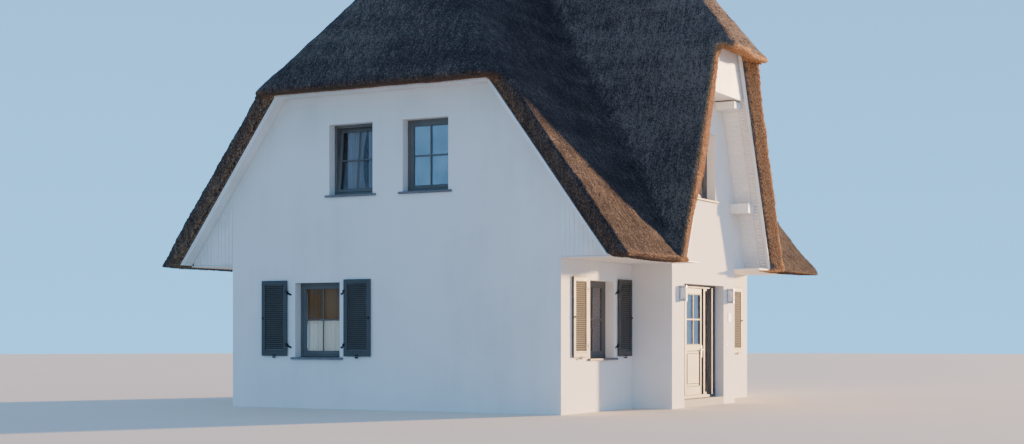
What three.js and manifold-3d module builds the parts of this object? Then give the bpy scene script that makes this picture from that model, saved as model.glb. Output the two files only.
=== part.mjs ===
// Thatched cottage with a half-hipped roof and a steep cross gable over its entrance bay.
// Millimetres. X to the right, Y away from the front gable, Z up from the ground.
// The origin is the middle of the house plan, on the underside of the ground floor.

import * as THREE from "three";
import { mergeVertices } from "three/addons/utils/BufferGeometryUtils.js";
import Module from "manifold-3d";

const wasm = await Module();
wasm.setup();

// Clearances, and how far a cutting tool or a tucked-in end runs past a face
const seam = 0.3;
const swing = 5;
const weld = 0.02;
const shy = 1;
const tuck = 5;
const past = 100;

// House block
const halfWidth = 3600;
const halfLength = 4700;
const wallThick = 365;
const floorTop = 150;
const upperFloorBottom = 2720;
const upperFloorTop = 2950;

// Main roof: lines of the barge boards and of the outer thatch
const mainPitch = 1.37;
const bargeFootX = 4530;
const bargeFootZ = 2830;
const thatchFootX = 5080;
const thatchFootZ = 2760;
const eaveCutZ = 2750;
const ridgeCutZ = 9590;
const ridgeTopZ = 9730;
const capWide = 430;
const capThick = 110;
const capPast = 420;
const vergeOut = 450;
const vergeFootOut = 320;
const boardDrop = 100;
const hipUnderZ = 5960;
const hipTopZ = 6010;
const hipOut = 850;
const hipInnerOut = 350;
const hipCornerRadius = 520;
const hipArrisRadius = 800;
const arrisCuts = [0.18, 0.5, 0.82];

// Entrance bay and its cross gable
const bayFaceX = 4430;
const bayHalf = 1670;
const crossPitch = 2.43;
const crossBargeFootY = 2240;
const crossBargeFootZ = 2800;
const crossThatchFootY = 2760;
const crossThatchFootZ = 2750;
const crossBoardDrop = 150;
const crossRidgeCutZ = 9330;
const crossRidgeTopZ = 9480;
const crossVergeX = 5100;
const crossBargeX = 4970;
const crossHipUnderZ = 6980;
const crossHipTopZ = 7020;
const crossHipX = 5400;
const crossHipInnerX = 4950;
const crossHipPitch = 1.38;
const crossHipHalf = 1180;
const crossHipRadius = 220;
const crossFlare = 160;
const crossArrisRadius = 350;
const crossBrowOverlap = 60;
const panelOuterX = 4900;
const panelFootZ = 6115;
const panelThick = 80;
const panelSoffitThick = 30;
const panelSoffitBack = 200;
const panelSoffitShort = 40;

// Boards
const boardThick = 30;
const soffitThick = 45;
const crossSoffitThick = 90;
const crossBoxWide = 210;
const earThick = 40;
const hipSoffitPast = 60;
const eaveSoffitTop = 2780;
const eaveSoffitBottom = 2752;

// Purlin heads of the cross gable: inner side, underside, top and outer end
const midPurlin = [1390, 3900, 4100, 4830];
const topPurlin = [560, 5940, 6090, 4840];

// Windows
const windowSill = 980;
const windowHead = 2400;
const reveal = 180;
const sillThick = 45;
const sillOut = 50;
const sillPast = 80;
const frameDepth = 80;
const frameWide = 75;
const paneThick = 24;

// Entrance
const nicheFrom = -1070;
const nicheTo = 1050;
const nicheHead = 2400;
const doorFrameFace = 4250;
const doorFrameDepth = 90;
const doorFrameWide = 65;
const doorFrom = -530;
const doorTo = 390;
const doorThick = 60;
const doorGlassLow = 1210;
const doorGlassHigh = 2260;
const doorGlassSide = 100;
const hingeHeights = [400, 1200, 2000];
const doorKnuckle = 60;
const doorKnuckleRadius = 9;
const hingeBack = 12;
const hingeAside = 3;
const hingeTab = 25;
const hingeNeck = 8;

// Shutters
const shutterWide = 600;
const shutterTall = 1450;
const shutterFoot = 1000;
const shutterThick = 32;
const shutterOff = 30;
const shutterEdge = 15;
const shutterRim = 90;
const shutterRecess = 8;
const knuckleRadius = 12;
const knuckleTall = 40;
const armTall = 24;
const armWide = 20;
const armRooted = 10;
const strapWide = 10;
const knuckleHeights = [200, 1210];

// Lamps
const lampWide = 120;
const lampDeep = 130;
const lampTall = 300;
const lampFoot = 2050;
const lampPlaces = { wall_lamp_front: -1260, wall_lamp_rear: 1300 };

// Materials
const finish = (color, roughness, metalness = 0) =>
  new THREE.MeshStandardMaterial({ color, roughness, metalness });
const render = finish(0xe9e6e0, 0.85);
const concrete = finish(0xb4b1aa, 0.9);
const thatch = finish(0x5b4b3f, 0.95);
const ridgeThatch = finish(0x4a4038, 0.95);
const whiteWood = finish(0xeceae5, 0.55);
const slateWood = finish(0x3c4854, 0.5);
const glass = finish(0x7d8f9c, 0.1);
const lampMetal = finish(0xbfc1c2, 0.4, 0.6);

// Solids from outlines

function toSolid(geometry) {
  geometry.deleteAttribute("normal");
  geometry.deleteAttribute("uv");
  const merged = mergeVertices(geometry, 1e-3);
  return new wasm.Manifold(new wasm.Mesh({
    numProp: 3,
    vertProperties: merged.attributes.position.array,
    triVerts: Uint32Array.from(merged.index.array),
  }));
}

function box([x0, x1], [y0, y1], [z0, z1]) {
  const geometry = new THREE.BoxGeometry(x1 - x0, y1 - y0, z1 - z0);
  geometry.translate((x0 + x1) / 2, (y0 + y1) / 2, (z0 + z1) / 2);
  return toSolid(geometry);
}

function extrude(shape, depth) {
  return new THREE.ExtrudeGeometry(shape, { depth, bevelEnabled: false, curveSegments: 6 });
}

function outline(points) {
  return new THREE.Shape(points.map(([a, b]) => new THREE.Vector2(a, b)));
}

// An outline in X and Z, pushed along Y
function alongY(points, y0, y1) {
  const geometry = extrude(outline(points), y1 - y0);
  geometry.rotateX(Math.PI / 2);
  geometry.translate(0, y1, 0);
  return toSolid(geometry);
}

// An outline in Y and Z, pushed along X
function alongX(points, x0, x1) {
  const geometry = extrude(outline(points), x1 - x0);
  const turn = new THREE.Matrix4().makeBasis(
    new THREE.Vector3(0, 1, 0), new THREE.Vector3(0, 0, 1), new THREE.Vector3(1, 0, 0));
  geometry.applyMatrix4(turn);
  geometry.translate(x0, 0, 0);
  return toSolid(geometry);
}

// A shape in X and Y, pushed up
function upwards(shape, z0, z1) {
  const geometry = extrude(shape, z1 - z0);
  geometry.translate(0, 0, z0);
  return toSolid(geometry);
}

function upright(x, y, radius, z0, z1) {
  const geometry = new THREE.CylinderGeometry(radius, radius, z1 - z0, 16);
  geometry.rotateX(Math.PI / 2);
  geometry.translate(x, y, (z0 + z1) / 2);
  return toSolid(geometry);
}

const join = (...solids) => solids.reduce((sum, next) => sum.add(next));
const cut = (body, ...tools) => tools.reduce((rest, next) => rest.subtract(next), body);

// Mirrored copies: the house is symmetrical about both middle planes but for its openings
function mirrored(solid, axis) {
  const mesh = solid.getMesh();
  const flipped = Float32Array.from(mesh.vertProperties);
  for (let i = axis; i < flipped.length; i += 3) flipped[i] = -flipped[i];
  const tris = Uint32Array.from(mesh.triVerts);
  for (let i = 0; i < tris.length; i += 3) [tris[i], tris[i + 1]] = [tris[i + 1], tris[i]];
  return new wasm.Manifold(new wasm.Mesh({ numProp: 3, vertProperties: flipped, triVerts: tris }));
}

const house = new THREE.Group();

// Corners closer than the weld are one corner, and a face that this closes up is left out
function welded(solid) {
  const mesh = solid.getMesh();
  const raw = new THREE.BufferGeometry();
  raw.setAttribute("position", new THREE.BufferAttribute(Float32Array.from(mesh.vertProperties), 3));
  raw.setIndex(new THREE.BufferAttribute(Uint32Array.from(mesh.triVerts), 1));
  const geometry = mergeVertices(raw, weld);
  const corners = geometry.index.array;
  const kept = [];
  for (let i = 0; i < corners.length; i += 3) {
    const [a, b, c] = corners.slice(i, i + 3);
    if (a !== b && b !== c && c !== a) kept.push(a, b, c);
  }
  geometry.setIndex(kept);
  return geometry;
}

function add(name, solid, material, position = [0, 0, 0], turn = 0) {
  const geometry = welded(solid);
  geometry.computeVertexNormals();
  const piece = new THREE.Mesh(geometry, material);
  piece.name = name;
  piece.position.set(...position);
  piece.rotation.z = turn;
  house.add(piece);
}

// Roof lines
const bargeLine = (x) => bargeFootZ + (bargeFootX - Math.abs(x)) * mainPitch;
const underThatch = (x) => bargeLine(x) + boardDrop;
const overThatch = (x) => thatchFootZ + (thatchFootX - Math.abs(x)) * mainPitch;
const underThatchX = (z) => bargeFootX + (bargeFootZ + boardDrop - z) / mainPitch;
const overThatchX = (z) => thatchFootX + (thatchFootZ - z) / mainPitch;
const crossBarge = (y) => crossBargeFootZ + (crossBargeFootY - Math.abs(y)) * crossPitch;
const crossUnderY = (z) => crossBargeFootY + (crossBargeFootZ + crossBoardDrop - z) / crossPitch;
const crossOver = (y) => crossThatchFootZ + (crossThatchFootY - Math.abs(y)) * crossPitch;
const crossOverY = (z) => crossThatchFootY + (crossThatchFootZ - z) / crossPitch;

// A roof prism under one pair of slopes, from a level cut to its apex or a cut below it
function gableOutline(halfAt, pitch, low, high) {
  const apex = low + halfAt(low) * pitch;
  const top = Math.min(high, apex);
  if (top === apex) return [[-halfAt(low), low], [halfAt(low), low], [0, apex]];
  return [[-halfAt(low), low], [halfAt(low), low], [halfAt(top), top], [-halfAt(top), top]];
}

// Main openings in the walls, as [middle, half width, low, high]
const frontWindows = {
  front_window_ground: [-1585, 515, windowSill, windowHead],
  front_window_upper_left: [-820, 490, 4050, 5380],
  front_window_upper_right: [820, 490, 4050, 5380],
};
const rearWindows = {
  rear_window_ground: [1585, 515, windowSill, windowHead],
  rear_window_upper_left: [820, 490, 4050, 5380],
  rear_window_upper_right: [-820, 490, 4050, 5380],
};
const leftWindows = {
  left_window_front: [-2400, 525, windowSill, windowHead],
  left_window_rear: [2400, 525, windowSill, windowHead],
};
const rightFrontWindows = { right_window_front: [-3005, 525, windowSill, windowHead] };
const rightRearWindows = { right_window_rear: [3005, 525, windowSill, windowHead] };
const bayWindow = [0, 580, 4100, 5420];

// Shutter hinges stand at the window edge of each open leaf, as [wall, place along it, way]
const shutters = {
  shutter_front_left: ["front", -2270 + shutterEdge, -1],
  shutter_front_right: ["front", -960 - shutterEdge, 1],
  shutter_entry_a: ["right", -3680 + shutterEdge, -1],
  shutter_entry_b: ["right", -2350 - shutterEdge, 1],
  shutter_entry_c: ["right", 2350 + shutterEdge, -1],
  shutter_entry_d: ["right", 3680 - shutterEdge, 1],
};

// Walls

function hingeArms(wall) {
  const arms = [];
  for (const [side, place] of Object.values(shutters)) {
    if (side !== wall) continue;
    for (const height of knuckleHeights) {
      const top = shutterFoot + height - seam;
      const face = wall === "front" ? -halfLength : halfWidth;
      const out = wall === "front" ? -1 : 1;
      const pin = face + out * shutterOff;
      const root = face - out * armRooted;
      const reach = [Math.min(root, pin), Math.max(root, pin)];
      const width = [place - armWide / 2, place + armWide / 2];
      const bar = wall === "front"
        ? box(width, reach, [top - armTall, top])
        : box(reach, width, [top - armTall, top]);
      const eye = wall === "front"
        ? upright(place, pin, knuckleRadius, top - armTall, top)
        : upright(pin, place, knuckleRadius, top - armTall, top);
      arms.push([place, join(bar, eye)]);
    }
  }
  return arms;
}

function gableWall(windows) {
  const kneeZ = underThatch(halfWidth) - shy;
  const headZ = hipUnderZ - shy;
  const shoulder = underThatchX(headZ) - shy;
  const shape = [[-halfWidth, 0], [halfWidth, 0], [halfWidth, kneeZ], [shoulder, headZ],
    [-shoulder, headZ], [-halfWidth, kneeZ]];
  let wall = alongY(shape, -halfLength, -halfLength + wallThick);
  for (const [middle, half, low, high] of Object.values(windows)) {
    const hole = box([middle - half, middle + half],
      [-halfLength - past, -halfLength + wallThick + past], [low - sillThick, high]);
    wall = cut(wall, hole);
  }
  return wall;
}

function sideWall([y0, y1], windows) {
  const kneeZ = underThatch(halfWidth) - shy;
  let wall = box([halfWidth - wallThick, halfWidth], [y0, y1], [0, kneeZ]);
  for (const [middle, half, low, high] of Object.values(windows)) {
    const hole = box([halfWidth - wallThick - past, halfWidth + past],
      [middle - half, middle + half], [low - sillThick, high]);
    wall = cut(wall, hole);
  }
  return wall;
}

const innerLength = halfLength - wallThick;
const innerWidth = halfWidth - wallThick;
const bayInner = bayHalf - wallThick;
const bayBackX = bayFaceX - wallThick;

const armsOnFront = hingeArms("front").map(([, arm]) => arm);
const armsOnRight = hingeArms("right");
const armsNear = armsOnRight.filter(([place]) => place < 0).map(([, arm]) => arm);
const armsFar = armsOnRight.filter(([place]) => place > 0).map(([, arm]) => arm);

add("front_wall", join(gableWall(frontWindows), ...armsOnFront), render);
add("rear_wall", mirrored(gableWall(rearWindows), 1), render);
add("left_wall", mirrored(sideWall([-innerLength + seam, innerLength - seam], leftWindows), 0), render);
const nearWall = sideWall([-innerLength + seam, -bayInner], rightFrontWindows);
const farWall = sideWall([bayInner, innerLength - seam], rightRearWindows);
add("right_wall_front", join(nearWall, ...armsNear), render);
add("right_wall_rear", join(farWall, ...armsFar), render);

// Bay: two corners with the piers beside the door, and the gable above it
const bayKneeZ = crossBarge(bayHalf) + crossBoardDrop - shy;
const bayCorners = { bay_corner_front: [-nicheFrom, -1], bay_corner_rear: [nicheTo, 1] };
for (const [name, [nicheSide, side]] of Object.entries(bayCorners)) {
  const along = (a, b) => [Math.min(side * a, side * b), Math.max(side * a, side * b)];
  const flank = box([halfWidth + seam, bayBackX - seam], along(bayInner, bayHalf), [0, bayKneeZ]);
  const pier = box([bayBackX, bayFaceX], along(nicheSide, bayHalf), [0, nicheHead]);
  const elbow = box([halfWidth + seam, bayFaceX], along(bayInner, bayHalf), [0, nicheHead]);
  add(name, join(flank, pier, elbow), render);
}
const gableShoulder = crossUnderY(panelFootZ) - shy;
const bayGableShape = [[-bayHalf, nicheHead + seam], [bayHalf, nicheHead + seam], [bayHalf, bayKneeZ],
  [gableShoulder, panelFootZ - seam], [-gableShoulder, panelFootZ - seam], [-bayHalf, bayKneeZ]];
const bayWindowHole = box([bayBackX - past, bayFaceX + past], [-bayWindow[1], bayWindow[1]],
  [bayWindow[2] - sillThick, bayWindow[3]]);
add("bay_gable_wall", cut(alongX(bayGableShape, bayBackX, bayFaceX), bayWindowHole), render);

// Floors
const roomPlan = outline([
  [-innerWidth + seam, -innerLength + seam], [innerWidth - seam, -innerLength + seam],
  [innerWidth - seam, -bayInner + seam], [bayBackX - seam, -bayInner + seam],
  [bayBackX - seam, bayInner - seam], [innerWidth - seam, bayInner - seam],
  [innerWidth - seam, innerLength - seam], [-innerWidth + seam, innerLength - seam]]);
const doorStep = box([bayBackX - tuck, bayFaceX], [nicheFrom + seam, nicheTo - seam], [0, floorTop]);
add("ground_floor", join(upwards(roomPlan, 0, floorTop), doorStep), concrete);
add("upper_floor", upwards(roomPlan, upperFloorBottom, upperFloorTop), concrete);

// Thatch: both roofs joined, hollowed, then parted at ridges, hips and valleys

const far = 6500;
const sky = 2 * far;
const deep = 400;

function roundedEnd(half, out, radius, back) {
  const shape = new THREE.Shape();
  shape.moveTo(-half, back);
  shape.lineTo(-half, out + radius);
  shape.absarc(-half + radius, out + radius, radius, Math.PI, 1.5 * Math.PI, false);
  shape.lineTo(half - radius, out);
  shape.absarc(half - radius, out + radius, radius, 1.5 * Math.PI, 2 * Math.PI, false);
  shape.lineTo(half, back);
  return shape;
}

const outerOutline = gableOutline(overThatchX, mainPitch, eaveCutZ, ridgeCutZ);
const hipRidgeY = halfLength + hipOut - (overThatch(0) - hipTopZ) / mainPitch;
const hipHalf = overThatchX(hipTopZ);

// All that lies under the sloping top of the front hip, and the room under its lining
const hipTopAt = (y) => hipTopZ + (y + halfLength + hipOut) * mainPitch;
const hipRoomAt = (y) => hipUnderZ + (y + halfLength + hipInnerOut) * mainPitch;
const underHipTop = alongX([[-far, 0], [0, 0], [0, hipTopAt(0)], [-halfLength - hipOut, hipTopZ],
  [-far, hipTopZ]], -far, far);
const underHipRoom = alongX([[-far, 0], [0, 0], [0, hipRoomAt(0)], [-halfLength - hipInnerOut, hipUnderZ],
  [-far, hipUnderZ]], -far, far);

// All that lies beyond a plane, as a large box
function beyond(point, normal) {
  const geometry = new THREE.BoxGeometry(4 * far, 4 * far, far);
  geometry.translate(0, 0, far / 2);
  const turn = new THREE.Quaternion().setFromUnitVectors(new THREE.Vector3(0, 0, 1), normal);
  geometry.applyQuaternion(turn);
  geometry.translate(point.x, point.y, point.z);
  return toSolid(geometry);
}

// Flat cuts that turn a sharp arris between two slopes, and its mirror image, into round ones
function roundArrises(body, point, normalA, normalB, radius, flip) {
  const half = normalA.angleTo(normalB) / 2;
  const middle = normalA.clone().add(normalB).normalize();
  const centre = point.clone().addScaledVector(middle, -radius / Math.cos(half));
  let rest = body;
  for (const share of arrisCuts) {
    const normal = normalA.clone().lerp(normalB, share).normalize();
    const touch = centre.clone().addScaledVector(normal, radius);
    const otherSide = beyond(touch.clone().multiply(flip), normal.clone().multiply(flip));
    rest = cut(rest, beyond(touch, normal), otherSide);
  }
  return rest;
}

// The verge face leans: its foot lies further back than its upper edge
function vergeWedge(edge, slopeNormal, outwards, thickness, lean) {
  const normal = outwards.clone().multiplyScalar(thickness).addScaledVector(slopeNormal, -lean).normalize();
  return beyond(edge, normal);
}

const vector = (x, y, z) => new THREE.Vector3(x, y, z);
const mainNormal = vector(mainPitch, 0, 1).normalize();
const hipNormal = vector(0, -mainPitch, 1).normalize();
const crossNormal = vector(0, -crossPitch, 1).normalize();
const crossHipNormal = vector(crossHipPitch, 0, 1).normalize();

function mainShell() {
  const thickness = (overThatch(0) - underThatch(0)) * mainNormal.z;
  const edge = vector(0, -halfLength - vergeOut, overThatch(0));
  const wedge = vergeWedge(edge, mainNormal, vector(0, -1, 0), thickness, vergeOut - vergeFootOut)
    .intersect(box([0, far], [-far, 0], [0, hipUnderZ]));
  const verge = cut(alongY(outerOutline, -halfLength - vergeOut, 0), wedge, mirrored(wedge, 0));
  const brow = alongY(outerOutline, -halfLength - hipOut, 0)
    .intersect(upwards(roundedEnd(hipHalf, -halfLength - hipOut, hipCornerRadius, 0), hipUnderZ, sky));
  const square = join(verge, brow).intersect(underHipTop);
  const hipFoot = vector(overThatchX(hipTopZ), -halfLength - hipOut, hipTopZ);
  const half = roundArrises(square, hipFoot, mainNormal, hipNormal, hipArrisRadius, vector(-1, 1, 1));
  return join(half, mirrored(half, 1));
}

function mainRoom() {
  const hollow = alongY(gableOutline(underThatchX, mainPitch, eaveCutZ - deep, sky), -far, 0)
    .intersect(underHipRoom);
  return join(hollow, mirrored(hollow, 1));
}

const crossTopAt = (x) => crossHipTopZ + (crossHipX - x) * crossHipPitch;
const crossRoomAt = (x) => crossHipUnderZ + (crossHipInnerX - x) * crossHipPitch;
const underCrossTop = alongY([[0, 0], [far, 0], [far, crossHipTopZ], [crossHipX, crossHipTopZ],
  [0, crossTopAt(0)]], -far, far);
const underCrossRoom = alongY([[0, 0], [far, 0], [far, crossHipUnderZ], [crossHipInnerX, crossHipUnderZ],
  [0, crossRoomAt(0)]], -far, far);

function crossShell() {
  const slopes = gableOutline(crossOverY, crossPitch, eaveCutZ, crossRidgeCutZ);
  const wide = gableOutline((z) => crossOverY(z) + crossFlare, crossPitch, eaveCutZ, crossRidgeCutZ);
  const plan = roundedEnd(crossHipHalf, -crossHipX, crossHipRadius, 0).getPoints(6);
  const brow = alongX(wide, crossVergeX - crossBrowOverlap, crossHipX)
    .intersect(upwards(outline(plan.map(({ x, y }) => [-y, x])), crossHipUnderZ, sky));
  const thickness = (crossOver(0) - crossBarge(0) - crossBoardDrop) * crossNormal.z;
  const edge = vector(crossVergeX, 0, crossOver(0));
  const wedge = vergeWedge(edge, crossNormal, vector(1, 0, 0), thickness, crossVergeX - crossBargeX)
    .intersect(box([0, far], [-far, 0], [0, crossHipUnderZ]));
  const verge = cut(alongX(slopes, 0, crossVergeX), wedge, mirrored(wedge, 1));
  const square = join(verge, brow).intersect(underCrossTop);
  const foot = vector(crossHipX, -crossOverY(crossHipTopZ), crossHipTopZ);
  return roundArrises(square, foot, crossNormal, crossHipNormal, crossArrisRadius, vector(1, -1, 1));
}

const crossRoom = alongX(gableOutline(crossUnderY, crossPitch, eaveCutZ - deep, sky), 0, far)
  .intersect(underCrossRoom);
const roofShell = join(mainShell(), crossShell());
const roof = cut(roofShell, mainRoom(), crossRoom);

// Plan lines where the slopes meet
const valleyAt = (x) => crossThatchFootY
  - (overThatch(x) - crossThatchFootZ) / crossPitch;
const valleyStart = (overThatch(0) - crossThatchFootZ - crossThatchFootY * crossPitch) / mainPitch;
const crossApexZ = crossThatchFootZ + crossThatchFootY * crossPitch;
const crossRidgeX = crossHipX - (crossApexZ - crossHipTopZ) / crossHipPitch;
const crossHipAt = (x) => (crossApexZ - crossTopAt(x)) / crossPitch;
const hipReach = far - hipRidgeY;

// A thin upright slice along a plan line, from a height up
function knife([ax, ay], [bx, by], low = 0) {
  const length = Math.hypot(bx - ax, by - ay);
  const nx = (-(by - ay) / length) * (seam / 2);
  const ny = ((bx - ax) / length) * (seam / 2);
  const plan = [[ax - nx, ay - ny], [bx - nx, by - ny], [bx + nx, by + ny], [ax + nx, ay + ny]];
  return upwards(outline(plan), low, sky);
}

const ridgeEnd = [0, -hipRidgeY];
const hipMiddle = [0, -far];
const hipCorner = [hipReach, -far];
const hipCornerLeft = [-hipReach, -far];
const valleyFoot = [far, -valleyAt(far)];
const valleyHead = [valleyStart, 0];
const crossEnd = [crossRidgeX, 0];
const crossCorner = [far, -crossHipAt(far)];
const asBuilt = (point) => point;
const flipY = ([x, y]) => [x, -y];

const knives = [knife(ridgeEnd, flipY(ridgeEnd)), knife([0, 0], crossEnd)];
for (const way of [asBuilt, flipY]) {
  knives.push(knife(way(ridgeEnd), way(hipCorner), hipUnderZ));
  knives.push(knife(way(ridgeEnd), way(hipCornerLeft), hipUnderZ));
  knives.push(knife(way(valleyHead), way(valleyFoot)));
  knives.push(knife(way(crossEnd), way(crossCorner), crossHipUnderZ));
}
const parted = cut(roof, ...knives);

// A hip stops at its own underside, and the slopes beside it take what hangs lower
const over = (points, low, high) => upwards(outline(points), low, high);
const hipFoots = (points) => over(points, 0, hipUnderZ);

add("thatch_left_slope", parted.intersect(join(
  over([ridgeEnd, flipY(ridgeEnd), flipY(hipCornerLeft), [-far, far], [-far, -far], hipCornerLeft], 0, sky),
  hipFoots([ridgeEnd, hipMiddle, hipCornerLeft]),
  hipFoots([ridgeEnd, hipMiddle, hipCornerLeft].map(flipY)))), thatch);

const frontPieces = {
  thatch_right: join(over([[0, 0], ridgeEnd, hipCorner, [far, -far], valleyFoot, valleyHead], 0, sky),
    hipFoots([ridgeEnd, hipMiddle, hipCorner])),
  thatch_hip: over([ridgeEnd, hipCornerLeft, hipCorner], hipUnderZ + seam, sky),
  thatch_bay: join(over([valleyHead, valleyFoot, crossCorner, crossEnd], 0, sky),
    over([crossEnd, crossCorner, [far, 0]], 0, crossHipUnderZ)),
};
for (const [name, region] of Object.entries(frontPieces)) {
  const piece = parted.intersect(region);
  add(`${name}_front`, piece, thatch);
  add(`${name}_rear`, mirrored(piece, 1), thatch);
}
add("thatch_bay_hip", parted.intersect(
  over([crossEnd, crossCorner, flipY(crossCorner)], crossHipUnderZ + seam, sky)), thatch);

// Ridge cap over both ridges: it follows the slopes for a stretch and is round on top
function capOutline(lineAt, pitch, topZ) {
  const steep = Math.hypot(1, pitch);
  const crest = lineAt(0) + capThick * steep;
  const radius = (crest - topZ) / (steep - 1);
  const middle = topZ - radius;
  const leftward = Math.atan2(1, pitch);
  const points = [[capWide, lineAt(capWide)],
    [capWide + (capThick * pitch) / steep, lineAt(capWide) + capThick / steep]];
  for (let i = 0; i <= 8; i += 1) {
    const turn = leftward + (i / 8) * (Math.PI - 2 * leftward);
    points.push([radius * Math.cos(turn), middle + radius * Math.sin(turn)]);
  }
  const left = points.slice(0, 2).reverse().map(([a, b]) => [-a, b]);
  return [...points, ...left];
}

const lifted = (solid, rise) => solid.translate([0, 0, rise]);
const hipLift = capThick * Math.hypot(1, mainPitch);
const mainCap = alongY(capOutline(overThatch, mainPitch, ridgeTopZ), -hipRidgeY - capPast, 0)
  .intersect(lifted(underHipTop, hipLift));
const crossCap = alongX(capOutline(crossOver, crossPitch, crossRidgeTopZ), 0, crossRidgeX + capPast)
  .intersect(lifted(underCrossTop, hipLift));
add("ridge_cap", cut(join(mainCap, mirrored(mainCap, 1), crossCap), roofShell, lifted(roofShell, seam),
  mainRoom(), crossRoom), ridgeThatch);

// Barge boards, verge soffits and the boarded ears between wall and eave

function band(lineAt, from, to, drop, rise) {
  return [[from, lineAt(from) + drop], [from, lineAt(from) + rise],
    [to, lineAt(to) + rise], [to, lineAt(to) + drop]];
}

const bargeTopX = underThatchX(hipUnderZ) + tuck;
const upTo = boardDrop - shy;
const earFootZ = eaveSoffitTop + seam;
const earFootX = underThatchX(eaveSoffitTop) - 2 * shy;

function mainVerge() {
  const level = box([0, far], [-far, 0], [earFootZ, hipUnderZ - shy]);
  const lowEnd = bargeFootX + 2 * past;
  const barge = alongY(band(bargeLine, bargeTopX, lowEnd, 0, upTo),
    -halfLength - vergeFootOut, -halfLength - vergeFootOut + boardThick);
  const lining = alongY(band(bargeLine, bargeTopX, lowEnd, upTo - soffitThick, upTo),
    -halfLength - vergeFootOut, -halfLength - seam);
  const ear = alongY([[halfWidth + seam, earFootZ], [earFootX, earFootZ],
    [halfWidth + seam, underThatch(halfWidth) - 2 * shy]], -halfLength - 2 * seam, -halfLength + earThick);
  return join(join(barge, lining).intersect(level), ear);
}

const vergeRight = mainVerge();
const vergeLeft = mirrored(vergeRight, 0);
add("verge_front_right", vergeRight, whiteWood);
add("verge_front_left", vergeLeft, whiteWood);
add("verge_rear_right", mirrored(vergeRight, 1), whiteWood);
add("verge_rear_left", mirrored(vergeLeft, 1), whiteWood);

const hipSoffitHalf = bargeTopX - 2 * tuck;
const hipSoffit = box([-hipSoffitHalf, hipSoffitHalf],
  [-halfLength - hipInnerOut - hipSoffitPast, -halfLength - seam],
  [hipUnderZ - soffitThick, hipUnderZ - seam]);
add("hip_soffit_front", hipSoffit, whiteWood);
add("hip_soffit_rear", mirrored(hipSoffit, 1), whiteWood);

// Cross gable boards: a boarded box at the verge, the lining behind it, the ear that closes the corner
// between gable wall and eave, and the purlin heads
const crossBoardTopZ = crossHipUnderZ - 2 * shy;

function crossVerge() {
  const rise = crossBoardDrop - shy;
  const drop = rise - crossSoffitThick;
  const highEnd = crossUnderY(crossHipUnderZ) - past;
  const lowEnd = crossBargeFootY + 2 * past;
  const level = box([0, far], [0, far], [earFootZ, crossBoardTopZ]);
  const verge = alongX(band(crossBarge, highEnd, lowEnd, 0, rise), crossBargeX - crossBoxWide, crossBargeX);
  const lining = alongX(band(crossBarge, highEnd, lowEnd, drop, rise), bayFaceX + seam, crossBargeX);
  const earSide = bayHalf + seam;
  const ear = alongX([[earSide, earFootZ], [crossUnderY(earFootZ) - 2 * shy, earFootZ],
    [earSide, bayKneeZ - shy]], bayFaceX - earThick, bayFaceX + 2 * seam);
  const purlin = ([inner, low, high, out]) => alongX([[inner, low], [crossUnderY(low) - 3 * tuck, low],
    [crossUnderY(high) - 3 * tuck, high], [inner, high]], bayFaceX + seam, out);
  return join(join(verge, lining).intersect(level), ear, purlin(midPurlin), purlin(topPurlin));
}
const bayVerge = crossVerge();
add("bay_verge_rear", bayVerge, whiteWood);
add("bay_verge_front", mirrored(bayVerge, 1), whiteWood);

// Boarded top of the cross gable with the soffit under it
const panelHalf = (z) => crossUnderY(z) - crossBoardDrop / crossPitch - 2 * shy;
const panelOutline = (low, high) => [[-panelHalf(low), low], [panelHalf(low), low],
  [panelHalf(high), high], [-panelHalf(high), high]];
const panel = alongX(panelOutline(panelFootZ, crossBoardTopZ), panelOuterX - panelThick, panelOuterX);
const panelSoffit = alongX(panelOutline(panelFootZ, panelFootZ + panelSoffitThick),
  bayFaceX - panelSoffitBack, panelOuterX - panelSoffitShort);
add("bay_gable_panel", join(panel, panelSoffit), whiteWood);

// Eave soffits
const soffitZ = [eaveSoffitBottom, eaveSoffitTop];
const eaveInner = halfWidth + seam;
const eaveOuter = underThatchX(eaveSoffitTop) - 4 * shy;
add("eave_soffit_left", box([-eaveOuter, -eaveInner], [-halfLength, halfLength], soffitZ), whiteWood);
const crossEaveOuter = crossUnderY(eaveSoffitTop) - 4 * shy;
const bayReturn = box([bayFaceX - tuck, crossBargeX], [-crossEaveOuter, -bayHalf - seam], soffitZ);
const longRun = box([eaveInner, eaveOuter], [-halfLength, -bayHalf - seam], soffitZ);
const eaveRight = join(longRun, bayReturn);
add("eave_soffit_right_front", eaveRight, whiteWood);
add("eave_soffit_right_rear", mirrored(eaveRight, 1), whiteWood);

// Windows: frame and sill in one, the pane apart. Local: outside face at Y 0, inwards is +Y

function windowFrame(half, low, high) {
  const face = reveal;
  const ring = cut(
    box([-half + seam, half - seam], [face, face + frameDepth], [low, high - seam]),
    box([-half + frameWide, half - frameWide], [face - past, face + frameDepth + past],
      [low + frameWide, high - frameWide]));
  const sillZ = [low - sillThick + seam, low + shy];
  const inside = box([-half + seam, half - seam], [-sillOut, face + frameDepth], sillZ);
  const ledge = box([-half - sillPast, half + sillPast], [-sillOut, -seam], sillZ);
  return join(ring, inside, ledge);
}

function windowPane(half, low, high) {
  const middle = reveal + frameDepth / 2;
  return box([-half + frameWide + seam, half - frameWide - seam],
    [middle - paneThick / 2, middle + paneThick / 2],
    [low + frameWide + seam, high - frameWide - seam]);
}

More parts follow.
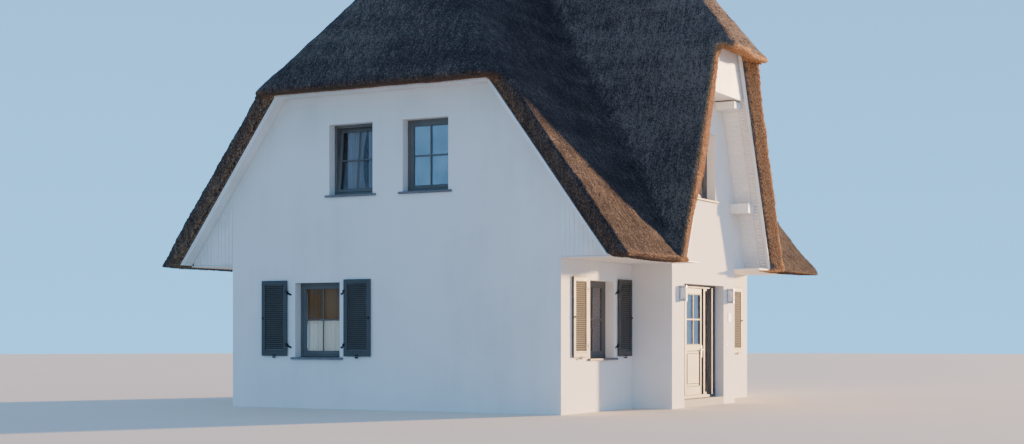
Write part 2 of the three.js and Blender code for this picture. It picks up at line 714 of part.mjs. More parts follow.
const placeOf = {
  front: (middle) => [[middle, -halfLength, 0], 0],
  rear: (middle) => [[middle, halfLength, 0], Math.PI],
  left: (middle) => [[-halfWidth, middle, 0], -Math.PI / 2],
  right: (middle) => [[halfWidth, middle, 0], Math.PI / 2],
  bay: (middle) => [[bayFaceX, middle, 0], Math.PI / 2],
};

function windowsOn(wall, windows, apart) {
  for (const [name, [middle, half, low, high]] of Object.entries(windows)) {
    const [position, turn] = placeOf[wall](middle);
    const frame = windowFrame(half, low, high);
    const pane = windowPane(half, low, high);
    if (apart) {
      add(name, frame, slateWood, position, turn);
      add(`${name}_glass`, pane, glass, position, turn);
    } else {
      const wide = windowPane(half + tuck, low - tuck, high + tuck);
      add(name, join(frame, wide), slateWood, position, turn);
    }
  }
}

windowsOn("front", frontWindows, true);
windowsOn("right", rightFrontWindows, true);
windowsOn("right", rightRearWindows, true);
windowsOn("bay", { bay_window: bayWindow }, true);
windowsOn("rear", rearWindows, false);
windowsOn("left", leftWindows, false);

// Entrance: frame with two sidelights, leaf with a glazed upper half

const frameX = [doorFrameFace - doorFrameDepth, doorFrameFace];
const leafX = [doorFrameFace - doorFrameDepth + seam, doorFrameFace - doorFrameDepth + doorThick];
const doorFoot = floorTop + swing + shy;
const doorHead = nicheHead - doorFrameWide - swing;
const hingeX = leafX[0] - hingeBack;
const hingeY = doorFrom - hingeAside;

const paneIn = (yRange, zRange) => {
  const middle = (leafX[0] + leafX[1]) / 2;
  return box([middle - paneThick / 2, middle + paneThick / 2],
    [yRange[0] + seam, yRange[1] - seam], [zRange[0] + seam, zRange[1] - seam]);
};
const lightZ = [floorTop + doorFrameWide, nicheHead - doorFrameWide];

function doorFrame() {
  const full = box(frameX, [nicheFrom + seam, nicheTo - seam], [floorTop + seam, nicheHead - seam]);
  const through = [frameX[0] - past, frameX[1] + past];
  const head = nicheHead - doorFrameWide;
  const doorway = box(through, [doorFrom - swing, doorTo + swing], [floorTop - past, head]);
  const left = box(through, [nicheFrom + doorFrameWide, doorFrom - swing - doorFrameWide],
    [floorTop + doorFrameWide, head]);
  const right = box(through, [doorTo + swing + doorFrameWide, nicheTo - doorFrameWide],
    [floorTop + doorFrameWide, head]);
  const panes = [
    paneIn([nicheFrom + doorFrameWide - tuck, doorFrom - swing - doorFrameWide + tuck], lightZ),
    paneIn([doorTo + swing + doorFrameWide - tuck, nicheTo - doorFrameWide + tuck], lightZ),
  ];
  let frame = join(cut(full, doorway, left, right), ...panes);
  for (const height of hingeHeights) {
    const stretch = [height - doorKnuckle, height - seam];
    const eye = upright(hingeX, hingeY, doorKnuckleRadius, ...stretch);
    const tab = box([hingeX, frameX[0] + tuck], [hingeY - hingeTab, hingeY - hingeNeck / 2], stretch);
    const neck = box([hingeX - hingeNeck / 2, hingeX + hingeNeck / 2], [hingeY - hingeTab, hingeY], stretch);
    frame = join(frame, eye, tab, neck);
  }
  return frame;
}

function doorLeaf() {
  const slab = box(leafX, [doorFrom, doorTo], [doorFoot, doorHead]);
  const light = box([leafX[0] - past, leafX[1] + past],
    [doorFrom + doorGlassSide, doorTo - doorGlassSide], [doorGlassLow, doorGlassHigh]);
  let leaf = cut(slab, light);
  for (const height of hingeHeights) {
    const stretch = [height, height + doorKnuckle];
    const eye = upright(hingeX, hingeY, doorKnuckleRadius, ...stretch);
    const tab = box([hingeX + 2 * shy, leafX[0] + tuck], [doorFrom, doorFrom + hingeTab], stretch);
    const neck = box([hingeX - hingeNeck / 2, hingeX + hingeNeck / 2],
      [hingeY, doorFrom + hingeTab], stretch);
    leaf = join(leaf, eye, tab, neck);
  }
  return leaf;
}

add("door_frame", doorFrame(), slateWood);
add("door_leaf", doorLeaf(), slateWood);
add("door_glass", paneIn([doorFrom + doorGlassSide, doorTo - doorGlassSide],
  [doorGlassLow, doorGlassHigh]), glass);

// Shutters. Local: the hinge axis is Z, the open leaf lies along +X
function shutterLeaf() {
  const thick = [-shutterThick / 2, shutterThick / 2];
  const edge = shutterEdge;
  const slab = box([edge, edge + shutterWide], thick, [0, shutterTall]);
  const fieldX = [edge + shutterRim, edge + shutterWide - shutterRim];
  const fieldZ = [shutterRim, shutterTall - shutterRim];
  const front = box(fieldX, [thick[0] - past, thick[0] + shutterRecess], fieldZ);
  const back = box(fieldX, [thick[1] - shutterRecess, thick[1] + past], fieldZ);
  let leaf = cut(slab, front, back);
  for (const height of knuckleHeights) {
    const eye = upright(0, 0, knuckleRadius, height, height + knuckleTall);
    const strap = box([0, edge + 2 * tuck], [-strapWide / 2, strapWide / 2],
      [height, height + knuckleTall]);
    leaf = join(leaf, eye, strap);
  }
  return leaf;
}

for (const [name, [wall, place, way]] of Object.entries(shutters)) {
  const onFront = wall === "front";
  const position = onFront
    ? [place, -halfLength - shutterOff, shutterFoot]
    : [halfWidth + shutterOff, place, shutterFoot];
  const along = way > 0 ? 0 : Math.PI;
  add(name, shutterLeaf(), slateWood, position, onFront ? along : along + Math.PI / 2);
}

// Lamps beside the entrance, rounded above
function lamp() {
  const body = box([seam, lampDeep - lampWide / 2], [-lampWide / 2, lampWide / 2], [0, lampTall]);
  return join(body, upright(lampDeep - lampWide / 2, 0, lampWide / 2, 0, lampTall));
}
for (const [name, place] of Object.entries(lampPlaces)) {
  add(name, lamp(), lampMetal, [bayFaceX, place, lampFoot]);
}

export default house;
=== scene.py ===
import math

import bmesh
import bpy
import numpy as np
from mathutils import Matrix, Vector, noise


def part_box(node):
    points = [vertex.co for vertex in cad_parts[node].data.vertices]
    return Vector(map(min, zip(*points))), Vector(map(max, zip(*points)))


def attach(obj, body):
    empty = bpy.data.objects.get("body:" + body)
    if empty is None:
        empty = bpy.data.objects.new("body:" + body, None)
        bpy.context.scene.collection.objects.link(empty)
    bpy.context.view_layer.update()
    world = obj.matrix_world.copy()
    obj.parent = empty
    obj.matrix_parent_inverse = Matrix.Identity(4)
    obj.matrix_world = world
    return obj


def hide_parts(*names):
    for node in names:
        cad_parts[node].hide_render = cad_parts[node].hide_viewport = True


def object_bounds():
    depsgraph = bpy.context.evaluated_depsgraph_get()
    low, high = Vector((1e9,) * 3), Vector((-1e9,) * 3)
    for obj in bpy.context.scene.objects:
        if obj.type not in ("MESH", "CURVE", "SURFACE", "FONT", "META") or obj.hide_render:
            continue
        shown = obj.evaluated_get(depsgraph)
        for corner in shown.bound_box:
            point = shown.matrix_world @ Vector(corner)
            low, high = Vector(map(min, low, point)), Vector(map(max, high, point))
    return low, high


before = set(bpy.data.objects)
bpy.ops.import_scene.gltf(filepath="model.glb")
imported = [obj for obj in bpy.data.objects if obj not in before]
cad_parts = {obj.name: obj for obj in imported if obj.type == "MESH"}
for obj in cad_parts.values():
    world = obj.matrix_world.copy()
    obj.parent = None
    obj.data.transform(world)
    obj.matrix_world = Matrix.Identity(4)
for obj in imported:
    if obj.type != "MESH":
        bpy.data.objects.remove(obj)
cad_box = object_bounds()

# Thatched cottage. Metres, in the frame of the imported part:
# the front gable faces -Y, the entrance bay faces +X.

# House block and entrance bay
HALF_WIDTH = 3.6
HALF_LENGTH = 4.7
BAY_FACE = 4.43
BAY_HALF = 1.67
FLOOR_TOP = 0.15

# Main roof, as the foot of a line (distance from the ridge plane, height) and its pitch
MAIN_PITCH = 1.37
MAIN_STEEP = math.hypot(1, MAIN_PITCH)
BARGE_FOOT = (4.53, 2.83)
THATCH_FOOT = (5.08, 2.76)
BOARD_DROP = 0.10
VERGE_OUT = 0.32
HIP_UNDER = 5.96
HIP_TOP = 6.01
HIP_OUT = 0.85
HIP_INNER_OUT = 0.35

# Cross gable roof over the bay
CROSS_PITCH = 2.43
CROSS_STEEP = math.hypot(1, CROSS_PITCH)
CROSS_BARGE_FOOT = (2.24, 2.80)
CROSS_THATCH_FOOT = (2.76, 2.75)
CROSS_BOARD_DROP = 0.15
CROSS_BARGE_X = 4.97
CROSS_HIP_UNDER = 6.98
CROSS_HIP_TOP = 7.02
CROSS_HIP_X = 5.40
CROSS_HIP_INNER_X = 4.95
CROSS_HIP_PITCH = 1.38
CROSS_BOX_WIDE = 0.21
PANEL_X = 4.90
PANEL_FOOT = 6.115
EAVE_SOFFIT = (2.752, 2.78)

# Joinery
REVEAL = 0.18
FRAME_DEPTH = 0.08
FRAME_WIDE = 0.055
SILL_THICK = 0.045
SILL_PAST = 0.08
SILL_OUT = 0.05
SILL_FALL = 0.008
GROOVE = 0.004

# Shutters: hinge line at the edge of the window, way 1 where the open leaf runs up the wall's own axis
SHUTTER_WIDE = 0.6
SHUTTER_TALL = 1.45
SHUTTER_FOOT = 1.0
SHUTTER_THICK = 0.032
SHUTTER_OFF = 0.03
SHUTTER_EDGE = 0.015
KNUCKLE_HEIGHTS = (0.2, 1.21)
KNUCKLE_TALL = 0.04
SHUTTERS = {
    "front_left": ("front", -2.255, -1),
    "front_right": ("front", -0.975, 1),
    "entry_a": ("right", -3.665, -1),
    "entry_b": ("right", -2.365, 1),
    "entry_c": ("right", 2.365, -1),
    "entry_d": ("right", 3.665, 1),
}

SEED = 11
rng = np.random.default_rng(SEED)


# Materials


def shade(code):
    """A colour written as six hexadecimal digits, made linear"""
    parts = [int(code[i:i + 2], 16) / 255 for i in (0, 2, 4)]
    line = [c / 12.92 if c <= 0.04045 else ((c + 0.055) / 1.055) ** 2.4 for c in parts]
    return (*line, 1.0)


class Value:
    """A socket of a material. Sums and products of values add their Math nodes."""

    def __init__(self, finish, socket):
        self.finish = finish
        self.socket = socket

    def maths(self, operation, *terms, clamp=False):
        settings = {"operation": operation, "use_clamp": clamp}
        return self.finish.node("ShaderNodeMath", settings, dict(enumerate(terms)))

    def __add__(self, other):
        return self.maths("ADD", self, other)

    def __sub__(self, other):
        return self.maths("SUBTRACT", self, other)

    def __rsub__(self, other):
        return self.maths("SUBTRACT", other, self)

    def __mul__(self, other):
        return self.maths("MULTIPLY", self, other)

    __radd__ = __add__
    __rmul__ = __mul__

    def held(self):
        """The value kept between 0 and 1"""
        return self.maths("ADD", self, 0.0, clamp=True)


class Finish:
    """A material around one Principled shader"""

    def __init__(self, name, **fixed):
        self.material = bpy.data.materials.new(name)
        self.material.use_nodes = True
        self.tree = self.material.node_tree
        self.shader = self.tree.nodes["Principled BSDF"]
        for socket, value in fixed.items():
            self.shader.inputs[socket.replace("_", " ").title().replace("Ior", "IOR")].default_value = value

    def node(self, kind, settings, sockets, out=0):
        made = self.tree.nodes.new(kind)
        for key, value in settings.items():
            if key == "stops":
                self.set_stops(made.color_ramp, value)
            else:
                setattr(made, key, value)
        for key, value in sockets.items():
            self.feed(made.inputs[key], value)
        return Value(self, made.outputs[out])

    def set_stops(self, ramp, stops):
        while len(ramp.elements) < len(stops):
            ramp.elements.new(0.5)
        for element, (place, code) in zip(ramp.elements, stops):
            element.position = place
            element.color = shade(code)

    def feed(self, socket, value):
        """Feeds a socket with another one's value, a colour's code or a plain number"""
        if isinstance(value, Value):
            self.tree.links.new(value.socket, socket)
        else:
            socket.default_value = shade(value) if isinstance(value, str) else value

    def give(self, name, value):
        self.feed(self.shader.inputs[name], value)

    def place(self, stretch=(1, 1, 1)):
        """Object coordinates, stretched"""
        spot = self.node("ShaderNodeTexCoord", {}, {}, out="Object")
        return self.node("ShaderNodeMapping", {}, {"Vector": spot, "Scale": stretch})

    def mottle(self, scale, detail=4.0, stretch=(1, 1, 1), rough=0.55):
        sockets = {"Vector": self.place(stretch), "Scale": scale, "Detail": detail, "Roughness": rough}
        return self.node("ShaderNodeTexNoise", {}, sockets, out="Fac")

    def ramp(self, value, *stops):
        return self.node("ShaderNodeValToRGB", {"stops": stops}, {"Fac": value}, out="Color")

    def blend(self, share, first, second):
        sockets = {0: share, 6: first, 7: second}
        return self.node("ShaderNodeMix", {"data_type": "RGBA"}, sockets, out=2)

    def attribute(self, name):
        return self.node("ShaderNodeAttribute", {"attribute_name": name}, {}, out="Fac")

    def bump(self, height, distance, strength=1.0):
        sockets = {"Height": height, "Distance": distance, "Strength": strength}
        self.give("Normal", self.node("ShaderNodeBump", {}, sockets, out="Normal"))

    def paint(self, colour, roughness):
        self.give("Base Color", colour)
        self.give("Roughness", roughness)
        return self.material


def wall_render():
    """Painted render with faint clouds and rain streaks"""
    finish = Finish("wall_render", specular_ior_level=0.25)
    clouds = finish.mottle(0.7, 5.0)
    streaks = finish.mottle(2.0, 4.0, (1, 1, 0.12))
    grain = finish.mottle(95.0, 3.0)
    trowel = finish.mottle(9.0, 4.0)
    tone = clouds * 0.6 + streaks * 0.4
    colour = finish.ramp(tone, (0.3, "dddad4"), (0.5, "e8e5df"), (0.75, "eeebe6"))
    finish.bump(grain * 0.5 + trowel * 0.8, 0.003, 0.6)
    return finish.paint(colour, 0.8 + grain * 0.15)


def grained(name, broad, fine, shares, stops, relief, gloss, **fixed):
    """Broad clouds that also vary the roughness, and a fine grain that also gives the relief"""
    finish = Finish(name, **fixed)
    clouds, grain = finish.mottle(*broad), finish.mottle(*fine)
    colour = finish.ramp(clouds * shares[0] + grain * shares[1], *stops)
    finish.bump(grain, *relief)
    return finish.paint(colour, gloss[0] + clouds * gloss[1])


def reed(name, weathered, fresh, roughness):
    """Thatch: reeds run down the slope, and their cut ends show at verges and eaves"""
    finish = Finish(name, specular_ior_level=0.06)
    turn = finish.attribute("fall")
    cut = finish.attribute("cut")
    depth = finish.attribute("fresh")

    def along(scale, detail, thin, long):
        down_x = finish.mottle(scale, detail, (long, thin, long))
        down_y = finish.mottle(scale, detail, (thin, long, long))
        return down_x + (down_y - down_x) * turn

    strands = along(1.0, 3.0, 75.0, 12.0)
    bundles = along(1.0, 3.0, 14.0, 3.2)
    tufts = finish.mottle(34.0, 4.0, rough=0.75)
    patches = finish.mottle(0.55, 4.0)
    courses = finish.mottle(1.0, 2.0, (0.8, 0.8, 3.4))
    ends = finish.mottle(48.0, 3.0, (1, 1, 0.55))

    # The painted light balance shifts the slope tone: painted lighter on the cross roof, whose seen slope
    # is in shade, and painted darker on the main roof's sunlit right slope
    skin = strands * 0.25 + tufts * 0.5 + bundles * 0.15 + courses * 0.1 + finish.attribute("bleach")
    slope_colour = finish.ramp(skin, *weathered)
    bleached = finish.ramp(skin + 0.03, *weathered)
    slope_colour = finish.blend((patches * 3.0 - 1.0).held(), slope_colour, bleached)
    face = ends * 0.6 + tufts * 0.4
    cut_colour = finish.ramp(face, *fresh)
    inner = (depth + (bundles - 0.5) * 0.45).held()
    old_cut = finish.blend(0.12, slope_colour, cut_colour)
    cut_colour = finish.blend(inner, old_cut, cut_colour)
    colour = finish.blend((cut * 1.4 - 0.2).held(), slope_colour, cut_colour)
    finish.bump(strands * 0.35 + tufts * 0.8 + bundles * 0.35 + ends * cut * 0.4, 0.05, 1.0)
    return finish.paint(colour, roughness + tufts * 0.2)


def straw(name, dark, light):
    """Loose reeds: each one is a little lighter or darker"""
    finish = Finish(name, specular_ior_level=0.1)
    own = finish.attribute("tone")
    speck = finish.mottle(30.0, 2.0)
    colour = finish.blend((own * 0.8 + speck * 0.3).held(), dark, light)
    finish.bump(speck, 0.001)
    return finish.paint(colour, 0.75 + speck * 0.2)


def slate_paint(name, code, dusty):
    """Satin joinery paint with brush marks and a dusty bloom"""
    finish = Finish(name, specular_ior_level=0.5)
    clouds = finish.mottle(3.0, 5.0)
    brushed = finish.mottle(14.0, 4.0, (4, 4, 0.25))
    colour = finish.blend((clouds * 1.6 - 0.45).held(), code, dusty)
    finish.bump(brushed, 0.0012, 0.6)
    return finish.paint(colour, 0.47 + clouds * 0.12)


def pane_glass(name, veil):
    """Sealed panes: they give back the sky, and the veil hides the room more or less"""
    finish = Finish(name, specular_ior_level=0.5, metallic=0.85)
    ripple = finish.mottle(2.2, 2.0)
    finish.bump(ripple, 0.004, 0.25)
    finish.give("Alpha", veil + ripple * 0.04)
    colour = finish.ramp(ripple, (0.3, "9c9a9e"), (0.7, "b4b0b2"))
    return finish.paint(colour, 0.03 + ripple * 0.02)


def metal(name, dark, light, roughness, metallic):
    finish = Finish(name, metallic=metallic)
    wear = finish.mottle(18.0, 5.0)
    colour = finish.ramp(wear, (0.35, dark), (0.7, light))
    finish.bump(wear, 0.0008, 0.4)
    return finish.paint(colour, roughness + wear * 0.2)


def curtain_cloth(name, dark, light, alpha, glow):
    """Thin cloth: the glow stands for the daylight that comes through it from the room"""
    finish = Finish(name, specular_ior_level=0.1, emission_strength=glow)
    weave = finish.mottle(1.0, 2.0, (420, 420, 420))
    # Painted shade and light in upright bands, standing for the cloth's folds
    painted_fold_shade = finish.mottle(3.0, 3.0, (1, 1, 0.2))
    colour = finish.blend((painted_fold_shade * 1.4 - 0.2).held(), dark, light)
    finish.bump(weave, 0.0004, 0.5)
    finish.give("Alpha", alpha + weave * 0.15)
    finish.give("Emission Color", colour)
    return finish.paint(colour, 0.8 + weave * 0.1)


WEATHERED = ((0.41, "221f20"), (0.47, "3b3535"), (0.53, "554b47"), (0.60, "857669"))
FRESH = ((0.40, "4a301d"), (0.47, "946743"), (0.55, "c6966a"), (0.65, "f0c69c"))
HEATHER = ((0.3, "120e0c"), (0.45, "29201b"), (0.6, "453730"), (0.75, "6b594b"))
PLASTER = wall_render()
CONCRETE = grained("floor_concrete", (1.6, 6.0), (60.0, 4.0), (0.7, 0.3),
                   ((0.3, "8f8b84"), (0.7, "bcb8b0")), (0.002, 0.5), (0.7, 0.25))
THATCH = reed("reed_thatch", WEATHERED, FRESH, 0.78)
RIDGE = reed("ridge_thatch", HEATHER, HEATHER, 0.78)
LOOSE_OLD = straw("weathered_straw", "2c2829", "655c56")
LOOSE_CUT = straw("cut_straw", "6b4a30", "e4bb8f")
WHITE = grained("white_boards", (1.3, 4.0), (6.0, 5.0, (6, 6, 0.6)), (0.5, 0.5),
                ((0.3, "d9d6cf"), (0.62, "efede9")), (0.0015, 0.5), (0.42, 0.2), specular_ior_level=0.4)
SLATE = slate_paint("slate_frame_paint", "585652", "6a6762")
SHUTTER_PAINT = slate_paint("slate_shutter_paint", "3b3a37", "4b4945")
GLASS = pane_glass("pane_glass", 0.5)
CLEAR_GLASS = pane_glass("clear_pane_glass", 0.07)
LOW_GLASS = pane_glass("low_pane_glass", 0.01)
LAMP_METAL = metal("lamp_metal", "9a9c9d", "c9cbcc", 0.32, 0.85)
IRON = metal("black_iron", "0e0e10", "26262a", 0.45, 0.6)
STONE = grained("stone_sill", (5.0, 4.0), (70.0, 4.0), (0.4, 0.6),
                ((0.3, "4f4c4c"), (0.5, "6f6b6a"), (0.72, "8b8683")), (0.0015, 0.6), (0.45, 0.25))
LINEN = curtain_cloth("white_linen", "c8bba4", "f4e6cc", 0.8, 0.1)
SHEER = curtain_cloth("sheer_linen", "8d929a", "c9ccd2", 0.45, 0.03)
AMBER_CLOTH = curtain_cloth("amber_cloth", "301d00", "745008", 0.95, 0.32)


# Making pieces


def parts_of(bm):
    """The separate closed parts of a bmesh, as lists of faces"""
    left = set(bm.faces)
    while left:
        part = [left.pop()]
        for face in part:
            for beside in {other for edge in face.edges for other in edge.link_faces} & left:
                left.discard(beside)
                part.append(beside)
        yield part


def turn_out(bm):
    """Turns the faces of every closed part outwards"""
    bmesh.ops.recalc_face_normals(bm, faces=bm.faces)
    for part in parts_of(bm):
        start = part[0].verts[0].co.copy()
        volume = sum((face.calc_center_median() - start).dot(face.normal) * face.calc_area()
                     for face in part)
        if volume < 0:
            bmesh.ops.reverse_faces(bm, faces=part)


def linked(name, data):
    """A new object of the scene around a mesh, a light or a camera"""
    thing = bpy.data.objects.new(name, data)
    bpy.context.scene.collection.objects.link(thing)
    return thing


def piece(name, bm, material, replaced=(), body="house", smooth=False, tidy=True, place=None):
    """Turns a bmesh into a piece that rides on a body of the house, moved to its place if one is given"""
    if place is not None:
        bm.transform(place)
    if tidy:
        turn_out(bm)
    mesh = bpy.data.meshes.new(name)
    for face in bm.faces:
        face.smooth = smooth
    bm.to_mesh(mesh)
    bm.free()
    return shown(name, mesh, material, replaced, body)


def shown(name, mesh, material, replaced=(), body="house"):
    mesh.materials.append(material)
    thing = linked(name, mesh)
    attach(thing, body)
    if replaced:
        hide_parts(*replaced)
    return thing


def take_in(bm, part):
    """Adds a finished part to a bmesh"""
    mesh = bpy.data.meshes.new("part")
    part.to_mesh(mesh)
    part.free()
    bm.from_mesh(mesh)
    bpy.data.meshes.remove(mesh)


def wider(span, by):
    return span[0] - by, span[1] + by


def about(middle, half):
    return middle - half, middle + half


def ease_edges(bm, edges, size):
    """Bevels edges once, and gives the faces that it made"""
    return bmesh.ops.bevel(bm, geom=list(edges), offset=size, offset_type="OFFSET", segments=1,
                           profile=0.5, affect="EDGES", material=-1, clamp_overlap=True)["faces"]


def bar(bm, x, y, z, ease=0.003, turn=Matrix.Identity(4)):
    """A box between two places on each axis, with eased arrises, turned about its own middle if asked"""
    low, high = (Vector(ends) for ends in zip(*map(sorted, (x, y, z))))
    place = Matrix.Translation((low + high) / 2) @ turn @ Matrix.Diagonal((*(high - low), 1))
    made = bmesh.ops.create_cube(bm, size=1, matrix=place)["verts"]
    edges = {edge for vert in made for edge in vert.link_edges}
    return {vert for face in ease_edges(bm, edges, ease) for vert in face.verts}


def pull(bm, faces, way):
    """Extrudes faces along a way, and gives the corners that moved"""
    grown = bmesh.ops.extrude_face_region(bm, geom=faces)["geom"]
    moved = [part for part in grown if isinstance(part, bmesh.types.BMVert)]
    bmesh.ops.translate(bm, verts=moved, vec=way)
    return moved


def ring(bm, x, z, width, front, back, ease=0.004):
    """A mitred frame standing in the XZ plane, between its front and back faces"""
    corners = [bm.verts.new(spot) for spot in
               ((x[0], front, z[0]), (x[1], front, z[0]), (x[1], front, z[1]), (x[0], front, z[1]))]
    field = bm.faces.new(corners)
    field.normal_update()
    rim = bmesh.ops.inset_individual(bm, faces=[field], thickness=width, use_even_offset=True)["faces"]
    bmesh.ops.delete(bm, geom=[field], context="FACES")
    still = {vert for face in rim for vert in face.verts}
    moved = pull(bm, rim, (0, back - front, 0))
    made = list({face for vert in (*still, *moved) for face in vert.link_faces})
    bmesh.ops.recalc_face_normals(bm, faces=made)
    ease_edges(bm, {edge for face in made for edge in face.edges if edge.calc_face_angle(0) > 1}, ease)


def rod(bm, start, end, radius, sides=12):
    """A round bar between two points"""
    start, end = Vector(start), Vector(end)
    way = end - start
    place = Matrix.Translation((start + end) / 2) @ way.to_track_quat("Z", "Y").to_matrix().to_4x4()
    bmesh.ops.create_cone(bm, cap_ends=True, segments=sides, radius1=radius, radius2=radius,
                          depth=way.length, matrix=place)


def knob(bm, centre, radius, squash=1.0):
    place = Matrix.Translation(centre) @ Matrix.Diagonal((1, squash, 1, 1))
    bmesh.ops.create_uvsphere(bm, u_segments=14, v_segments=8, radius=radius, matrix=place)


def trim(bm, point, normal):
    """Cuts away what lies beyond a plane and closes the cut"""
    geom = [*bm.verts, *bm.edges, *bm.faces]
    sliced = bmesh.ops.bisect_plane(bm, geom=geom, dist=1e-6, plane_co=point,
                                    plane_no=Vector(normal).normalized(), clear_outer=True)
    rims = [part for part in sliced["geom_cut"] if isinstance(part, bmesh.types.BMEdge)]
    bmesh.ops.holes_fill(bm, edges=rims, sides=0)


WALL_PLACES = {
    "front": ((0, -HALF_LENGTH, 0), 0),
    "rear": ((0, HALF_LENGTH, 0), math.pi),
    "left": ((-HALF_WIDTH, 0, 0), -math.pi / 2),
    "right": ((HALF_WIDTH, 0, 0), math.pi / 2),
    "bay": ((BAY_FACE, 0, 0), math.pi / 2),
}


def on_wall(side, along=0.0):
    """From a wall's own frame, outer face at Y 0 and inwards +Y, to the house's"""
    spot, turn = WALL_PLACES[side]
    spot = Vector(spot)
    if side in ("front", "rear"):
        spot.x += along
    else:
        spot.y += along
    return Matrix.Translation(spot) @ Matrix.Rotation(turn, 4, "Z")


# Roof surfaces, as heights over the plan


def main_line(foot, x, lift=0.0):
    return foot[1] + (foot[0] - np.abs(x)) * MAIN_PITCH + lift


def cross_line(foot, y, lift=0.0):
    return foot[1] + (foot[0] - np.abs(y)) * CROSS_PITCH + lift


def skin_parts(x, y):
    """Heights of the outer thatch: main slope, end hip, cross slope, cross hip"""
    hip = HIP_TOP + (HALF_LENGTH + HIP_OUT - np.abs(y)) * MAIN_PITCH
    cross_hip = CROSS_HIP_TOP + (CROSS_HIP_X - x) * CROSS_HIP_PITCH
    cross = np.where(x > 0, cross_line(CROSS_THATCH_FOOT, y), -10)
    return main_line(THATCH_FOOT, x), hip, cross, cross_hip


def lining(x, y):
    hip = HIP_UNDER + (HALF_LENGTH + HIP_INNER_OUT - np.abs(y)) * MAIN_PITCH
    cross_hip = CROSS_HIP_UNDER + (CROSS_HIP_INNER_X - x) * CROSS_HIP_PITCH
    main = np.minimum(main_line(BARGE_FOOT, x, BOARD_DROP), hip)
    cross = np.minimum(cross_line(CROSS_BARGE_FOOT, y, CROSS_BOARD_DROP), cross_hip)
    return np.maximum(main, np.where(x > 0, cross, -10))


def ramp_between(low, high, value):
    share = np.clip((value - low) / (high - low), 0, 1)
    return share * share * (3 - 2 * share)


def soft_rise(first, second, reach):
    """How far a rounded valley lies over the sharp one"""
    share = np.clip(0.5 + 0.5 * (first - second) / reach, 0, 1)
    joined = second + (first - second) * share + reach * share * (1 - share)
    return joined - np.maximum(first, second)


MAIN_FALL = np.array([1, 0, -MAIN_PITCH]) / MAIN_STEEP
CROSS_FALL = np.array([0, 1, -CROSS_PITCH]) / CROSS_STEEP
CROSS_HIP_FALL = np.array([1, 0, -CROSS_HIP_PITCH]) / math.hypot(1, CROSS_HIP_PITCH)


def reed_lie(spots):
    """The way the reeds point at each spot, down the slope that it belongs to"""
    x, y = spots[:, 0], spots[:, 1]
    main, hip, cross, cross_hip = skin_parts(x, y)
    side = np.where(x < 0, -1.0, 1.0)
    end = np.where(y < 0, -1.0, 1.0)
    on_main = MAIN_FALL * np.stack([side, side * 0, side * 0 + 1], 1)
    on_hip = MAIN_FALL[[1, 0, 2]] * np.stack([end * 0, end, end * 0 + 1], 1)
    on_cross = CROSS_FALL * np.stack([end * 0, end, end * 0 + 1], 1)
    lie = np.where((hip < main)[:, None], on_hip, on_main)
    cross_lie = np.where((cross_hip < cross)[:, None], CROSS_HIP_FALL, on_cross)
    crossed = np.minimum(cross, cross_hip) > np.minimum(main, hip)
    return np.where(crossed[:, None], cross_lie, lie)


def corners_of(mesh):
    spots = np.empty(len(mesh.vertices) * 3)
    mesh.vertices.foreach_get("co", spots)
    return spots.reshape(-1, 3)


def normals_of(mesh):
    ways = np.empty(len(mesh.vertices) * 3)
    mesh.vertex_normals.foreach_get("vector", ways)
    return ways.reshape(-1, 3)


def keep_in_box(spots):
    low, high = np.array(cad_box[0]), np.array(cad_box[1])
    return np.clip(spots, low, high)


def lumps(spots, scales, sizes):
    """Smooth noise over the spots, as a sum of scales"""
    total = np.zeros(len(spots))
    for scale, size in zip(scales, sizes):
        total += [size * noise.noise(spot * scale) for spot in map(Vector, spots)]
    return total


def remeshed(name, nodes, voxel):
    """One skin over some nodes of the part"""
    bm = bmesh.new()
    for node in nodes:
        bm.from_mesh(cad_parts[node].data)
    bmesh.ops.remove_doubles(bm, verts=bm.verts, dist=1e-5)
    mesh = bpy.data.meshes.new(name)
    bm.to_mesh(mesh)
    bm.free()
    thing = linked(name, mesh)
    wrap = thing.modifiers.new("wrap", "REMESH")
    wrap.mode = "VOXEL"
    wrap.voxel_size = voxel
    graph = bpy.context.evaluated_depsgraph_get()
    skin = bpy.data.meshes.new_from_object(thing.evaluated_get(graph))
    bpy.data.objects.remove(thing)
    bpy.data.meshes.remove(mesh)
    return skin


def store(mesh, **marks):
    """Stores values at each corner of a mesh, for the materials to read"""
    for label, values in marks.items():
        layer = mesh.attributes.new(label, "FLOAT", "POINT")
        layer.data.foreach_set("value", values.astype(np.float32))


def mark_reeds(mesh, cut, fresh, bleach):
    """Stores what the thatch material reads, with the way that the reeds fall"""
    ways = normals_of(mesh)
    level = ways[:, 0] ** 2 + ways[:, 1] ** 2 + 1e-6
    fall = ramp_between(0.35, 0.65, ways[:, 1] ** 2 / level)
    store(mesh, fall=fall, cut=cut, fresh=fresh, bleach=bleach)


THATCH_NODES = [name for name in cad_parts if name.startswith("thatch_")]
VOXEL = 0.06
CAP_VOXEL = 0.045
VALLEY_REACH = 1.5
SOFTENING_ROUNDS = 22
EDGE_ROUNDS = 2
EDGE_GAIN = 0.02
VERGE_LEAN = 0.09
BROW_DROOP = (0.06, 0.13)
BROW_SPREAD = 0.12
HIP_FLARE = 0.07
NEAR_BULGE = 0.075
BULGE_FOOT = 3.5
# Painted light balance of the thatch: the cross roof, whose seen slope is in shade, is painted lighter, and
# the main roof's sunlit right slope is painted darker
CROSS_PAINTED_LIGHTER = 0.035
SUNLIT_SLOPE_PAINTED_DARKER = -0.03

# Noise scales and sizes of the slopes' and the ridge cap's unevenness
SLOPE_LUMPS = ((0.8, 3.0, 9.0), (0.03, 0.016, 0.009))
CAP_LUMPS = ((2.5, 9.0), (0.03, 0.02))


